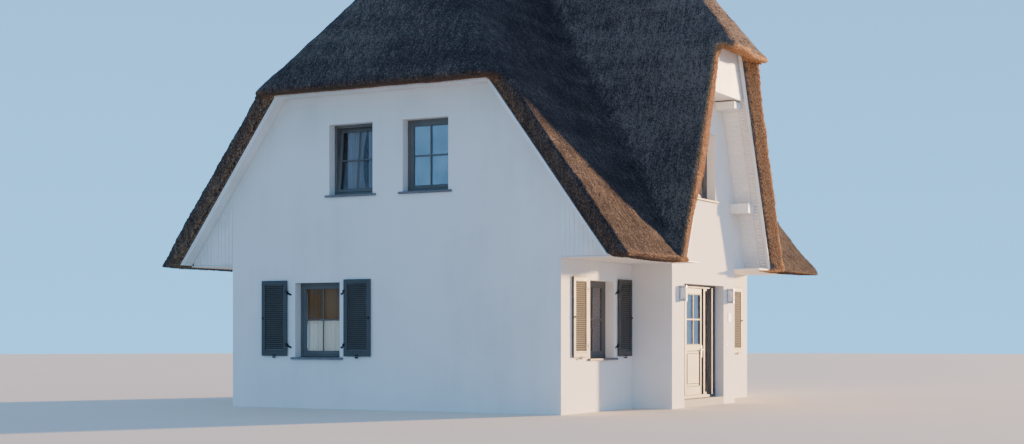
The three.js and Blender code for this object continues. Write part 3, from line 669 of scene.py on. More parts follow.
def thatch_skin():
    """The whole roof's thatch: valleys swept round, arrises softened, slopes a little uneven"""
    skin = remeshed("thatch_skin", THATCH_NODES, VOXEL)
    spots = corners_of(skin)
    x, y, z = spots.T  # views: a change to one of them moves the spots
    main, hip, cross, cross_hip = skin_parts(x, y)
    main, cross = np.minimum(main, hip), np.minimum(cross, cross_hip)
    top, under = np.maximum(main, cross), lining(x, y)
    share = np.clip((z - under) / np.maximum(top - under, 0.1), 0, 1)
    ways = normals_of(skin)
    on_verge = (np.abs(ways[:, 1]) > 0.9) | (ways[:, 2] < -0.35) | ((ways[:, 0] > 0.93) & (x > 4.5))
    outer = ramp_between(0.15, 0.8, share)
    above = z - CROSS_THATCH_FOOT[1]
    rise = soft_rise(main, cross, VALLEY_REACH) * ramp_between(0.1, 0.9, x) * ramp_between(0.1, 2.2, above)
    on_hip = (cross_hip < cross_line(CROSS_THATCH_FOOT, y) + 0.1) & (x > 3.5)
    up_hip = (z - CROSS_HIP_TOP) / 1.6
    flare = HIP_FLARE * np.sin(math.pi * np.clip(up_hip, 0, 1)) * on_hip
    x -= flare * outer
    z += rise * outer
    lean = VERGE_LEAN * share * ramp_between(-0.6, 0.6, y) * (1 + 0.7 * ramp_between(6.0, 6.9, z))
    up_verge = np.clip((z - BULGE_FOOT) / (CROSS_HIP_UNDER - BULGE_FOOT), 0, 1)
    bulge = NEAR_BULGE * (1 - share) * ramp_between(-0.6, 0.6, -y) * np.sin(math.pi * up_verge)
    x += (lean + bulge) * ramp_between(4.6, 5.0, x) * (z < CROSS_HIP_UNDER + 0.05)
    on_brow = (z > CROSS_HIP_UNDER - 0.1) & (z < CROSS_HIP_TOP + 0.5)
    brow = ramp_between(CROSS_HIP_INNER_X + 0.05, CROSS_HIP_X, x) * on_brow
    z -= brow * np.where(z < CROSS_HIP_UNDER + 0.02, BROW_DROOP[1], BROW_DROOP[0])
    y += BROW_SPREAD * brow * ramp_between(0, 0.8, y)
    skin.vertices.foreach_set("co", spots.ravel())

    cut = on_verge & (share < 0.93) & (share > 0.02)
    cut |= (x > CROSS_BARGE_X + 0.06) & (y < 0) & (z < CROSS_HIP_UNDER) & (share > 0.02)
    bm = bmesh.new()
    bm.from_mesh(skin)
    bm.verts.ensure_lookup_table()
    near_tip = (x > CROSS_HIP_INNER_X - 0.1) | ((np.abs(y) > HALF_LENGTH + 0.35) & (z < HIP_TOP + 0.35))
    free = (share > 0.9) & ~on_verge & ~near_tip
    held = (ways[:, 2] < -0.8) & (z > BARGE_FOOT[1] + 1) & (x < CROSS_HIP_X - 0.25)
    for wanted, rounds in (((share > 0.03) & ~held, EDGE_ROUNDS), (free, SOFTENING_ROUNDS)):
        soft = [bm.verts[int(i)] for i in np.flatnonzero(wanted)]
        for _ in range(rounds):
            bmesh.ops.smooth_vert(bm, verts=soft, factor=0.5,
                                  use_axis_x=True, use_axis_y=True, use_axis_z=True)
    bm.to_mesh(skin)
    bm.free()

    spots = corners_of(skin)
    ways = normals_of(skin)
    swell = lumps(spots, *SLOPE_LUMPS) + EDGE_GAIN * cut
    loose = np.where(share > 0.05, 1.0, 0.0) * np.where(cut, 0.6, 1.0)
    spots = keep_in_box(spots + ways * (swell * loose)[:, None])
    skin.vertices.foreach_set("co", spots.ravel())
    deep = 1 - share
    on_right = ramp_between(-0.5, 0.5, x) * (1 - ramp_between(-1.2, -0.2, z - HIP_UNDER))
    fresh = 0.5 * ramp_between(0.3, 1.0, deep) * (1 - 0.9 * on_right)
    fresh = np.where(cross > main, 0.7 + 0.5 * deep, fresh)
    crossed = ramp_between(-0.4, 0.4, cross - main)
    # Painted light balance: lighter on the cross roof seen in shade, darker on the sunlit right slope of
    # the main roof
    bleach = CROSS_PAINTED_LIGHTER * crossed + SUNLIT_SLOPE_PAINTED_DARKER * (1 - crossed) * ramp_between(0, 1.5, x)
    mark_reeds(skin, cut.astype(float), fresh, bleach)
    store(skin, depth=deep)
    return skin


def half_of(skin, name, end, nodes):
    """The thatch on one side of the cross gable's middle plane"""
    bm = bmesh.new()
    bm.from_mesh(skin)
    geom = [*bm.verts, *bm.edges, *bm.faces]
    bmesh.ops.bisect_plane(bm, geom=geom, dist=1e-5, plane_co=(0, 0, 0), plane_no=(0, end, 0),
                           clear_inner=True)
    rims = [edge for edge in bm.edges if edge.is_boundary]
    bmesh.ops.triangle_fill(bm, use_beauty=True, use_dissolve=False, edges=rims)
    return piece(name, bm, THATCH, nodes, smooth=True, tidy=False)


def spike():
    """One reed end as a thin closed spike, lying along +Z"""
    bm = bmesh.new()
    bmesh.ops.create_cone(bm, cap_ends=True, segments=3, radius1=0.5, radius2=0.0, depth=1,
                          matrix=Matrix.Translation((0, 0, 0.5)))
    bmesh.ops.recalc_face_normals(bm, faces=bm.faces)
    bmesh.ops.triangulate(bm, faces=bm.faces)
    corners = np.array([vert.co for vert in bm.verts])
    faces = np.array([[vert.index for vert in face.verts] for face in bm.faces])
    bm.free()
    return corners, faces


def strewn(name, seats, ways, lengths, widths, material):
    """Many reeds in one piece, each from its seat along its way"""
    corners, faces = spike()
    ways = ways / np.linalg.norm(ways, axis=1)[:, None]
    beside = np.cross(ways, rng.normal(size=ways.shape))
    beside /= np.linalg.norm(beside, axis=1)[:, None]
    upon = np.cross(ways, beside)
    axes = np.stack([beside * widths[:, None], upon * widths[:, None], ways * lengths[:, None]], 1)
    spots = np.einsum("ck,nkd->ncd", corners, axes) + seats[:, None, :]
    spots = keep_in_box(spots.reshape(-1, 3))
    index = faces[None] + (np.arange(len(seats)) * len(corners))[:, None, None]
    mesh = bpy.data.meshes.new(name)
    mesh.from_pydata(spots.tolist(), [], index.reshape(-1, 3).tolist())
    store(mesh, tone=np.repeat(rng.random(len(seats)), len(corners)))
    return shown(name, mesh, material)


def seats_on(mesh, wanted, amount):
    """Random seats over the faces whose corners are wanted, with their normals"""
    mesh.calc_loop_triangles()
    tris = np.empty(len(mesh.loop_triangles) * 3, dtype=np.int64)
    mesh.loop_triangles.foreach_get("vertices", tris)
    tris = tris.reshape(-1, 3)
    tris = tris[wanted[tris].all(1)]
    a, b, c = (corners_of(mesh)[tris[:, i]] for i in range(3))
    cross = np.cross(b - a, c - a)
    area = np.linalg.norm(cross, axis=1)
    picked = rng.choice(len(tris), size=amount, p=area / area.sum())
    u, v = rng.random((2, amount, 1))
    over = u + v > 1
    u, v = np.where(over, 1 - u, u), np.where(over, 1 - v, v)
    seats = a[picked] + (b - a)[picked] * u + (c - a)[picked] * v
    return seats, cross[picked] / area[picked][:, None]


def values_of(mesh, label):
    values = np.empty(len(mesh.vertices), dtype=np.float32)
    mesh.attributes[label].data.foreach_get("value", values)
    return values


RIDGE_UNDERSIDE = 9.4
LIGHT_ENDS = 22000
WEATHERED_ENDS = 12000
SLOPE_REEDS = 42000
REED_WIDE = (0.007, 0.013)
REED_LONG = (0.05, 0.12)
REED_LIFT = (0.02, 0.16)
REED_STRAY = 0.09
END_LONG = (0.025, 0.07)
END_STRAY = 0.16


def loose_reeds(skin):
    """Reed ends that stand out of the cut faces, and loose reeds that lie on the slopes"""
    depth = values_of(skin, "depth")
    cut = values_of(skin, "cut") > 0.5
    ways = normals_of(skin)
    under = (depth > 0.97) | (corners_of(skin)[:, 2] > RIDGE_UNDERSIDE)

    light = values_of(skin, "fresh") > 0.4
    for name, where, amount, material in (
        ("reed_ends", light, LIGHT_ENDS, LOOSE_CUT),
        ("weathered_reed_ends", ~light, WEATHERED_ENDS, LOOSE_OLD),
    ):
        seats, out = seats_on(skin, cut & ~under & where, amount)
        way = reed_lie(seats) * 0.9 + out * 0.55 + rng.normal(size=seats.shape) * END_STRAY
        long = rng.uniform(*END_LONG, amount) * np.where(out[:, 2] < -0.4, 0.5, 1.0)
        strewn(name, seats - out * 0.01, way, long, rng.uniform(*REED_WIDE, amount), material)

    slope = (depth < 0.1) & ~cut & (ways[:, 2] > 0.15) & ~under
    seats, out = seats_on(skin, slope, SLOPE_REEDS)
    lie = reed_lie(seats)
    lie -= out * (lie * out).sum(1, keepdims=True)
    stray = out * rng.uniform(*REED_LIFT, (SLOPE_REEDS, 1)) + rng.normal(size=seats.shape) * REED_STRAY
    strewn("loose_reeds", seats - out * 0.008, lie + stray, rng.uniform(*REED_LONG, SLOPE_REEDS),
           rng.uniform(*REED_WIDE, SLOPE_REEDS), LOOSE_OLD)


def roof():
    """The two halves of the thatch with their loose reeds, and the ridge cap"""
    skin = thatch_skin()
    for half, end, single in (("front", -1, "thatch_left_slope"), ("rear", 1, "thatch_bay_hip")):
        nodes = [name for name in THATCH_NODES if name.endswith(f"_{half}")]
        half_of(skin, f"thatch_{half}_half", end, [*nodes, single])
    loose_reeds(skin)
    bpy.data.meshes.remove(skin)

    cap = remeshed("ridge_heather", ["ridge_cap"], CAP_VOXEL)
    spots, ways = corners_of(cap), normals_of(cap)
    swell = lumps(spots, *CAP_LUMPS)
    cap.vertices.foreach_set("co", keep_in_box(spots + ways * swell[:, None]).ravel())
    plain = np.zeros(len(spots))
    mark_reeds(cap, plain, plain, plain)
    for face in cap.polygons:
        face.use_smooth = True
    shown("ridge_heather", cap, RIDGE, ["ridge_cap"])


roof()


# Boards under the thatch

PLANK = 0.095
EAR_PLANK = 0.088
LINING_PLANK = 0.1
EAVE_PLANK = 0.11
PANEL_PLANK = 0.12
PLANK_GAP = 0.002
RIB_STEP = 0.07
TUCKED = 0.05
PANEL_HALF = 0.9

# Purlin heads, as the place each one reaches to and its spans in Y and Z
PURLINS = (
    (BAY_FACE + 0.4, (1.39, 2.2), (3.9, 4.1)),
    (PANEL_X - 0.06, (0.56, 1.4), (5.94, 6.09)),
)


def planks(bm, axis, x, y, z, width=PLANK):
    """Boards side by side along one axis, in the box that the spans bound"""
    spans = [x, y, z]
    start, end = spans[axis]
    count = max(1, round((end - start) / width))
    step = (end - start) / count
    for i in range(count):
        spans[axis] = wider((start + i * step, start + (i + 1) * step), -PLANK_GAP / 2)
        bar(bm, *spans, GROOVE)


def boarded(name, bm, node, side=1, end=1):
    """A white boarded piece in place of a node, mirrored to its side and end of the house"""
    bmesh.ops.scale(bm, vec=(side, end, 1), verts=bm.verts)
    piece(name, bm, WHITE, [node])


def slope_place(foot, pitch, over_y):
    """Local X up the slope, Z square out of it, Y level, for the right-hand or far slope"""
    steep = math.hypot(1, pitch)
    up, out = Vector((-1 / steep, 0, pitch / steep)), Vector((pitch / steep, 0, 1 / steep))
    level = Vector((0, 1, 0))
    spot = Vector((foot[0], 0, foot[1]))
    if over_y:
        up, out, level, spot = (way.yxz for way in (up, out, level, spot))
    return Matrix.Translation(spot) @ Matrix((up, level, out)).transposed().to_4x4()


def trim_cross(bm, lift, way=1):
    """Cuts along the cross gable's slope, at a height over the foot of its barge board"""
    trim(bm, (0, way * CROSS_BARGE_FOOT[0], CROSS_BARGE_FOOT[1] + lift), (0, way * CROSS_PITCH, 1))


def main_verge_boards():
    """Barge board in two steps and the soffit behind it, for the near right verge"""
    face = -HALF_LENGTH - VERGE_OUT
    length = (HIP_UNDER - BARGE_FOOT[1]) * MAIN_STEEP / MAIN_PITCH
    thick = BOARD_DROP / MAIN_STEEP
    along = (-0.3, length + 0.2)
    bm = bmesh.new()
    bar(bm, along, (face, face + 0.03), (0, thick), 0.004)
    bar(bm, along, (face - 0.014, face - 0.001), (thick * 0.55, thick))
    planks(bm, 1, along, (face + 0.031, -HALF_LENGTH - 0.001), (thick - 0.022, thick - 0.002))
    bm.transform(slope_place(BARGE_FOOT, MAIN_PITCH, False))
    trim(bm, (0, 0, EAVE_SOFFIT[1] + 0.001), (0, 0, -1))
    trim(bm, (0, 0, HIP_UNDER - 0.002), (0, 0, 1))
    return bm


def ear_boards():
    """Upright boards that close the corner between wall, eave and verge"""
    bm = bmesh.new()
    planks(bm, 0, (HALF_WIDTH + 0.001, BARGE_FOOT[0] + 0.04), (-HALF_LENGTH - 0.012, -HALF_LENGTH + 0.03),
           (EAVE_SOFFIT[1] + 0.001, 4.4), EAR_PLANK)
    trim(bm, (BARGE_FOOT[0], 0, BARGE_FOOT[1] + BOARD_DROP * 0.55), (MAIN_PITCH, 0, 1))
    return bm


def cross_verge_boards():
    """Barge board, the boarded box behind it and the lining of the cross gable's far side"""
    length = (CROSS_HIP_UNDER + TUCKED - CROSS_BARGE_FOOT[1]) * CROSS_STEEP / CROSS_PITCH
    thick = CROSS_BOARD_DROP / CROSS_STEEP
    soffit = thick - 0.034
    box_x = CROSS_BARGE_X - CROSS_BOX_WIDE
    along, lined = (-0.2, length + 0.2), (-0.15, length + 0.1)
    bm = bmesh.new()
    bar(bm, along, (CROSS_BARGE_X - 0.034, CROSS_BARGE_X), (0, thick), 0.004)
    bar(bm, along, (CROSS_BARGE_X + 0.001, CROSS_BARGE_X + 0.016), (thick * 0.5, thick))
    planks(bm, 0, lined, (box_x + 0.015, CROSS_BARGE_X - 0.035), (soffit + 0.012, thick), LINING_PLANK)
    for i in range(round((length + 0.2) / RIB_STEP)):
        foot = -0.1 + i * RIB_STEP
        bar(bm, (foot, foot + RIB_STEP * 0.6), (box_x + 0.05, CROSS_BARGE_X - 0.05),
            (0.004, soffit + 0.013), 0.012)
    planks(bm, 0, lined, (BAY_FACE + 0.001, box_x - 0.026), (soffit, soffit + 0.02), LINING_PLANK)
    bar(bm, along, (box_x - 0.025, box_x + 0.014), (soffit - 0.006, thick))
    bm.transform(slope_place(CROSS_BARGE_FOOT, CROSS_PITCH, True))
    trim(bm, (0, 0, EAVE_SOFFIT[1] + 0.001), (0, 0, -1))
    trim(bm, (0, 0, CROSS_HIP_UNDER + TUCKED), (0, 0, 1))
    return bm


def bay_ear_boards():
    """Upright boards between the bay's gable wall and the lining of its verge"""
    bm = bmesh.new()
    planks(bm, 1, (BAY_FACE - 0.03, BAY_FACE + 0.012), (BAY_HALF + 0.001, CROSS_BARGE_FOOT[0] + 0.1),
           (EAVE_SOFFIT[1] + 0.001, 4.5), EAR_PLANK)
    trim_cross(bm, CROSS_BOARD_DROP * 0.6)
    return bm


def purlin_heads():
    """Ends of the two purlins that carry the cross gable's verge"""
    bm = bmesh.new()
    for reach, y, z in PURLINS:
        bar(bm, (BAY_FACE + 0.001, reach), y, z, 0.012)
    trim_cross(bm, CROSS_BOARD_DROP * 0.38)
    return bm


def boards_from(*makers):
    bm = bmesh.new()
    for maker in makers:
        take_in(bm, maker())
    return bm


for end_name, end in (("front", 1), ("rear", -1)):
    for side_name, side in (("right", 1), ("left", -1)):
        label = f"{end_name}_{side_name}"
        boards = boards_from(main_verge_boards, ear_boards)
        boarded(f"barge_and_ear_{label}", boards, f"verge_{label}", side, end)
for end_name, end in (("rear", 1), ("front", -1)):
    boards = boards_from(cross_verge_boards, bay_ear_boards, purlin_heads)
    boarded(f"bay_barge_{end_name}", boards, f"bay_verge_{end_name}", end=end)


def gable_panel():
    """Upright boards at the top of the cross gable, with the boarded soffit behind their foot"""
    bm = bmesh.new()
    across = (-PANEL_HALF, PANEL_HALF)
    planks(bm, 1, (PANEL_X - 0.035, PANEL_X), across, (PANEL_FOOT, CROSS_HIP_UNDER + TUCKED), PANEL_PLANK)
    planks(bm, 0, (BAY_FACE - 0.19, PANEL_X - 0.036), across, (PANEL_FOOT + 0.002, PANEL_FOOT + 0.026))
    bar(bm, (PANEL_X - 0.06, PANEL_X - 0.037), across, (PANEL_FOOT + 0.028, PANEL_FOOT + 0.07))
    for way in (1, -1):
        trim_cross(bm, -0.006, way)
    return bm


boarded("bay_gable_boards", gable_panel(), "bay_gable_panel")


def soffits():
    """Boards under the eaves and under the two end hips"""
    low, high = EAVE_SOFFIT
    under = (low, high - 0.002)
    wall, bay_side = HALF_WIDTH + 0.001, -BAY_HALF - 0.001
    eave = BARGE_FOOT[0] + (BARGE_FOOT[1] + BOARD_DROP - high) / MAIN_PITCH - 0.005
    cross_eave = CROSS_BARGE_FOOT[0] + (CROSS_BARGE_FOOT[1] + CROSS_BOARD_DROP - high) / CROSS_PITCH - 0.005
    hip_half = BARGE_FOOT[0] + (BARGE_FOOT[1] + BOARD_DROP - HIP_UNDER) / MAIN_PITCH
    face = -HALF_LENGTH - HIP_INNER_OUT
    left = bmesh.new()
    planks(left, 0, (-eave, -wall), (-HALF_LENGTH, HALF_LENGTH), under, EAVE_PLANK)
    boarded("eave_boards_left", left, "eave_soffit_left")
    for end_name, end in (("front", 1), ("rear", -1)):
        right, hip = bmesh.new(), bmesh.new()
        planks(right, 0, (wall, eave), (-HALF_LENGTH, bay_side), under, EAVE_PLANK)
        planks(right, 1, (eave + 0.002, CROSS_BARGE_X), (-cross_eave, bay_side), under, EAVE_PLANK)
        boarded(f"eave_boards_right_{end_name}", right, f"eave_soffit_right_{end_name}", end=end)
        across = (-hip_half, hip_half)
        planks(hip, 1, across, (face, -HALF_LENGTH - 0.001), (HIP_UNDER - 0.024, HIP_UNDER - 0.002))
        bar(hip, across, (face - 0.03, face - 0.001), (HIP_UNDER - 0.045, HIP_UNDER - 0.002), 0.004)
        bar(hip, across, (-HALF_LENGTH - 0.022, -HALF_LENGTH - 0.001),
            (HIP_UNDER - 0.045, HIP_UNDER - 0.025), 0.004)
        boarded(f"hip_boards_{end_name}", hip, f"hip_soffit_{end_name}", end=end)


soffits()


# Windows. Depths count from the wall's outer face, and bars run a tenon's length into their frame

TENON = 0.002
SASH_IN = 0.042
SASH_WIDE = 0.068
SASH_Y = (REVEAL + 0.012, REVEAL + 0.066)
BEAD_WIDE = 0.012
BEAD_Y = (REVEAL + 0.02, REVEAL + 0.034)
BAR_HALF = 0.014
BAR_Y = (REVEAL + 0.016, REVEAL + 0.034)
PANE_IN = 0.004
PANE_Y = (REVEAL + 0.037, REVEAL + 0.053)
TILT = math.radians(5.5)
TILTED = "front_window_upper_left"
GROUND = "front_window_ground"
CLEAR = {GROUND: LOW_GLASS, TILTED: CLEAR_GLASS}


def window(name, side):
    """Fixed frame, sash with crossed bars, weather bar, pane and sill, in place of one window node"""
    low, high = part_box(name)
    across = 0 if side in ("front", "rear") else 1
    foot, head = low.z + SILL_THICK, high.z
    opening = wider((0, 0), (high[across] - low[across]) / 2 - SILL_PAST)
    place = on_wall(side, (low[across] + high[across]) / 2)

    fixed = bmesh.new()
    ring(fixed, opening, (foot, head), FRAME_WIDE, REVEAL, REVEAL + FRAME_DEPTH)
    bar(fixed, wider(opening, -0.06), (REVEAL - 0.03, REVEAL - 0.001), (foot + 0.012, foot + 0.03))
    piece(f"{name}_frame", fixed, SLATE, [name], place=place)

    sash, pane, sill = bmesh.new(), bmesh.new(), bmesh.new()
    x, z = wider(opening, -SASH_IN), wider((foot, head), -SASH_IN)
    ring(sash, x, z, SASH_WIDE, *SASH_Y, 0.006)
    light_x, light_z = wider(x, -SASH_WIDE), wider(z, -SASH_WIDE)
    ring(sash, wider(light_x, 0.001), wider(light_z, 0.001), BEAD_WIDE, *BEAD_Y, 0.003)
    bar(sash, about(0, BAR_HALF), BAR_Y, wider(light_z, TENON), 0.005)
    bar(sash, wider(light_x, TENON), wider(BAR_Y, -0.0005), about(sum(light_z) / 2, BAR_HALF), 0.005)
    bar(sash, wider(x, -0.01), (REVEAL - 0.006, REVEAL + 0.013), (z[0] + 0.012, z[0] + 0.03), 0.004)
    bar(pane, wider(light_x, PANE_IN), PANE_Y, wider(light_z, PANE_IN), 0.001)
    sash_place = place
    if name == TILTED:
        hinge = Matrix.Translation((0, REVEAL + 0.04, z[0]))
        sash_place = place @ hinge @ Matrix.Rotation(-TILT, 4, "X") @ hinge.inverted()
    piece(f"{name}_sash", sash, SLATE, place=sash_place)
    glass = f"{name}_glass"
    replaced = [glass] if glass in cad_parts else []
    piece(f"{name}_pane", pane, CLEAR.get(name, GLASS), replaced, place=sash_place)

    slab = (foot - SILL_THICK + 0.001, foot)
    rounded = bar(sill, wider(opening, SILL_PAST), (-SILL_OUT, -0.001), slab, 0.005)
    bar(sill, wider(opening, -0.001), (-0.0012, REVEAL + 0.02), slab, 0.002)
    for vert in rounded:
        if vert.co.z > foot - 0.01 and vert.co.y < -SILL_OUT / 2:
            vert.co.z -= SILL_FALL
    piece(f"{name}_sill", sill, STONE, place=place)


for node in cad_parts:
    if "window" in node and not node.endswith("_glass"):
        window(node, node.split("_")[0])


# Curtains, as the window each hangs behind, its spans in X and Z, how far it hangs behind the reveal,
# the number and depth of its pleats, its cloth, and how far its waist is drawn aside

CURTAINS = {
    "upper_curtain_near": (TILTED, (-0.34, 0.12), (4.1, 5.36), 0.22, 7, 0.014, SHEER, 0.1),
    "upper_curtain_far": (TILTED, (0.14, 0.44), (4.1, 5.36), 0.22, 5, 0.014, SHEER, 0),
    "half_curtain": (GROUND, (-0.42, 0.42), (1.03, 1.68), 0.1, 9, 0.012, LINEN, 0),
    "lined_curtain": (GROUND, (-0.46, 0.46), (1.62, 2.34), 0.14, 8, 0.016, AMBER_CLOTH, 0),
}


def pleats(x, width, count, depth):
    """How far a hung cloth stands off its line at a place across it"""
    turn = x / width * count * 2 * math.pi
    return depth * (math.sin(turn) + 0.35 * math.sin(2.3 * turn + 1.0))


def curtain(name, window_node, x, z, off, count, depth, material, gathered):
    """A hung cloth behind a window of the front gable"""
    low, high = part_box(window_node)
    width, tall = x[1] - x[0], z[1] - z[0]
    columns, rows = count * 12, 14
    bm = bmesh.new()
    bmesh.ops.create_grid(bm, x_segments=columns, y_segments=rows, size=0.5)
    places = [i / columns * width for i in range(columns + 1)]
    line = [(spot, pleats(spot, width, count, depth)) for spot in places]
    strip = sum(map(math.dist, line, line[1:]))
    for vert in bm.verts:
        share, up = vert.co.x + 0.5, vert.co.y + 0.5
        stand = pleats(share * width, width, count, depth) * (0.75 + 0.25 * (1 - up))
        waist = gathered * math.sin(math.pi * (1 - up) * 0.9) * share
        vert.co = (x[0] + share * width - waist, REVEAL + off + stand, z[0] + up * tall)
    area = sum(face.calc_area() for face in bm.faces)
    cloth = piece(name, bm, material, smooth=True, tidy=False,
                  place=on_wall("front", (low.x + high.x) / 2))
    min(area, strip * tall)


for name, look in CURTAINS.items():
    curtain(name, *look)


# Shutters

STILE = 0.085
FOOT_BLOCK = 0.035
SLATS = 33
SLAT_HALF = 0.0190
SLAT_THICK = 0.007
SLAT_TURN = math.radians(-58)
PULL_IN = 0.035
ARM_PLATE_TURN = Matrix.Rotation(-0.42, 4, "Y")


def shutter_place(wall, hinge, way):
    """From a leaf's own frame, hinge line on Z and the open leaf along +X, to the house's"""
    turn = 0 if way > 0 else math.pi
    if wall == "front":
        spot = Vector((hinge, -HALF_LENGTH - SHUTTER_OFF, SHUTTER_FOOT))
    else:
        spot = Vector((HALF_WIDTH + SHUTTER_OFF, hinge, SHUTTER_FOOT))
        turn += math.pi / 2
    return Matrix.Translation(spot) @ Matrix.Rotation(turn, 4, "Z")


def shutter(name, wall, hinge, way):
    """A louvred leaf, and the irons that turn with it"""
    place, body = shutter_place(wall, hinge, way), f"{name}_shutter"
    half = SHUTTER_THICK / 2
    near, far = SHUTTER_EDGE, SHUTTER_EDGE + SHUTTER_WIDE
    field = wider((near, far), -STILE)
    leaf, iron = bmesh.new(), bmesh.new()
    ring(leaf, (near, far), (0, SHUTTER_TALL), STILE, -half, half, 0.005)
    bar(leaf, wider(field, TENON), about(0, half - 0.001), (STILE - TENON, STILE + FOOT_BLOCK), 0.004)
    foot, head = STILE + FOOT_BLOCK + 0.005, SHUTTER_TALL - STILE - 0.004
    step = (head - foot) / SLATS
    lie = Matrix.Rotation(way * SLAT_TURN, 4, "X")
    for i in range(SLATS):
        slat_z = about(foot + (i + 0.5) * step, SLAT_THICK / 2)
        bar(leaf, wider(field, 0.003), about(0, SLAT_HALF), slat_z, 0.0015, lie)
    piece(f"{name}_louvres", leaf, SHUTTER_PAINT, [f"shutter_{name}"], body,
          place=place)

    for height in KNUCKLE_HEIGHTS:
        rod(iron, (0, 0, height), (0, 0, height + KNUCKLE_TALL), 0.0125)
        bar(iron, (0, near + 0.03), about(0, 0.005), (height + 0.002, height + 0.038), 0.001)
        bar(iron, (near + 0.001, near + 0.034), (-way * (half + 0.004), -way * (half - 0.001)),
            (height - 0.006, height + 0.046), 0.001)
    pull_x, pull_y, pull_z = far - PULL_IN, -way * (half + 0.014), SHUTTER_TALL / 2
    rod(iron, (pull_x, -way * half, pull_z), (pull_x, pull_y, pull_z), 0.009)
    knob(iron, (pull_x, pull_y, pull_z), 0.019, 0.7)
    bar(iron, about((near + far) / 2, 0.035), (-way * (half - 0.001), -way * (half + 0.005)),
        (0.004, 0.03), 0.002)
    piece(f"{name}_hinges", iron, IRON, body=body, place=place)


def wall_irons(label, *leaves):
    """Hinge arms over those in the wall, and the holdbacks under the open leaves"""
    bm = bmesh.new()
    for wall, hinge, way in map(SHUTTERS.get, leaves):
        part = bmesh.new()
        face, back = SHUTTER_OFF * way, SHUTTER_THICK / 2
        for height in KNUCKLE_HEIGHTS:
            top = height - 0.0002
            rod(part, (0, 0, top - 0.026), (0, 0, top), 0.0132)
            bar(part, about(0, 0.0115), (0, face), (top - 0.026, top - 0.0005), 0.001)
            bar(part, (-0.075, 0.02), (face, face - way * 0.006), (top - 0.04, top - 0.005), 0.002,
                ARM_PLATE_TURN)
        middle = SHUTTER_EDGE + SHUTTER_WIDE / 2
        bar(part, about(middle, 0.008), (face, -way * (back + 0.01)), (-0.03, -0.014), 0.002)
        bar(part, about(middle, 0.03), (-way * (back + 0.004), -way * (back + 0.014)), (-0.038, -0.006))
        part.transform(shutter_place(wall, hinge, way))
        take_in(bm, part)
    piece(f"shutter_brackets_{label}", bm, IRON)


for name, where in SHUTTERS.items():
    shutter(name, *where)
wall_irons("front", "front_left", "front_right")
wall_irons("entry_near", "entry_a", "entry_b")
wall_irons("entry_far", "entry_c", "entry_d")


# Entrance

DOOR_Y = (-0.53, 0.39)
DOOR_Z = (0.156, 2.33)
NICHE_Y = (-1.07, 1.05)
NICHE_HEAD = 2.4
LEAF_DEPTH = (0.21, 0.27)
LIGHT_Z = (1.21, 2.26)
TOP_RAIL = 0.045
LOCK_RAIL = 0.12
FOOT_RAIL = (DOOR_Z[0] + 0.09, 0.38)
DOOR_STILE = 0.1
DOOR_BAR_HALF = 0.015
POST = 0.065
SWING = 0.005
GRIP_IN = 0.05
GRIP_PLATE = (0.96, 1.2)
LEVER_Z = 1.11
LEVER_LONG = 0.125
KEY_Z = 1.01
PIN_RADIUS = 0.009
DOOR_HINGES = (0.4, 1.2, 2.0)
HINGE_TALL = 0.06
DOOR_PIN = (DOOR_Y[0] - 0.003, LEAF_DEPTH[1] + 0.012)


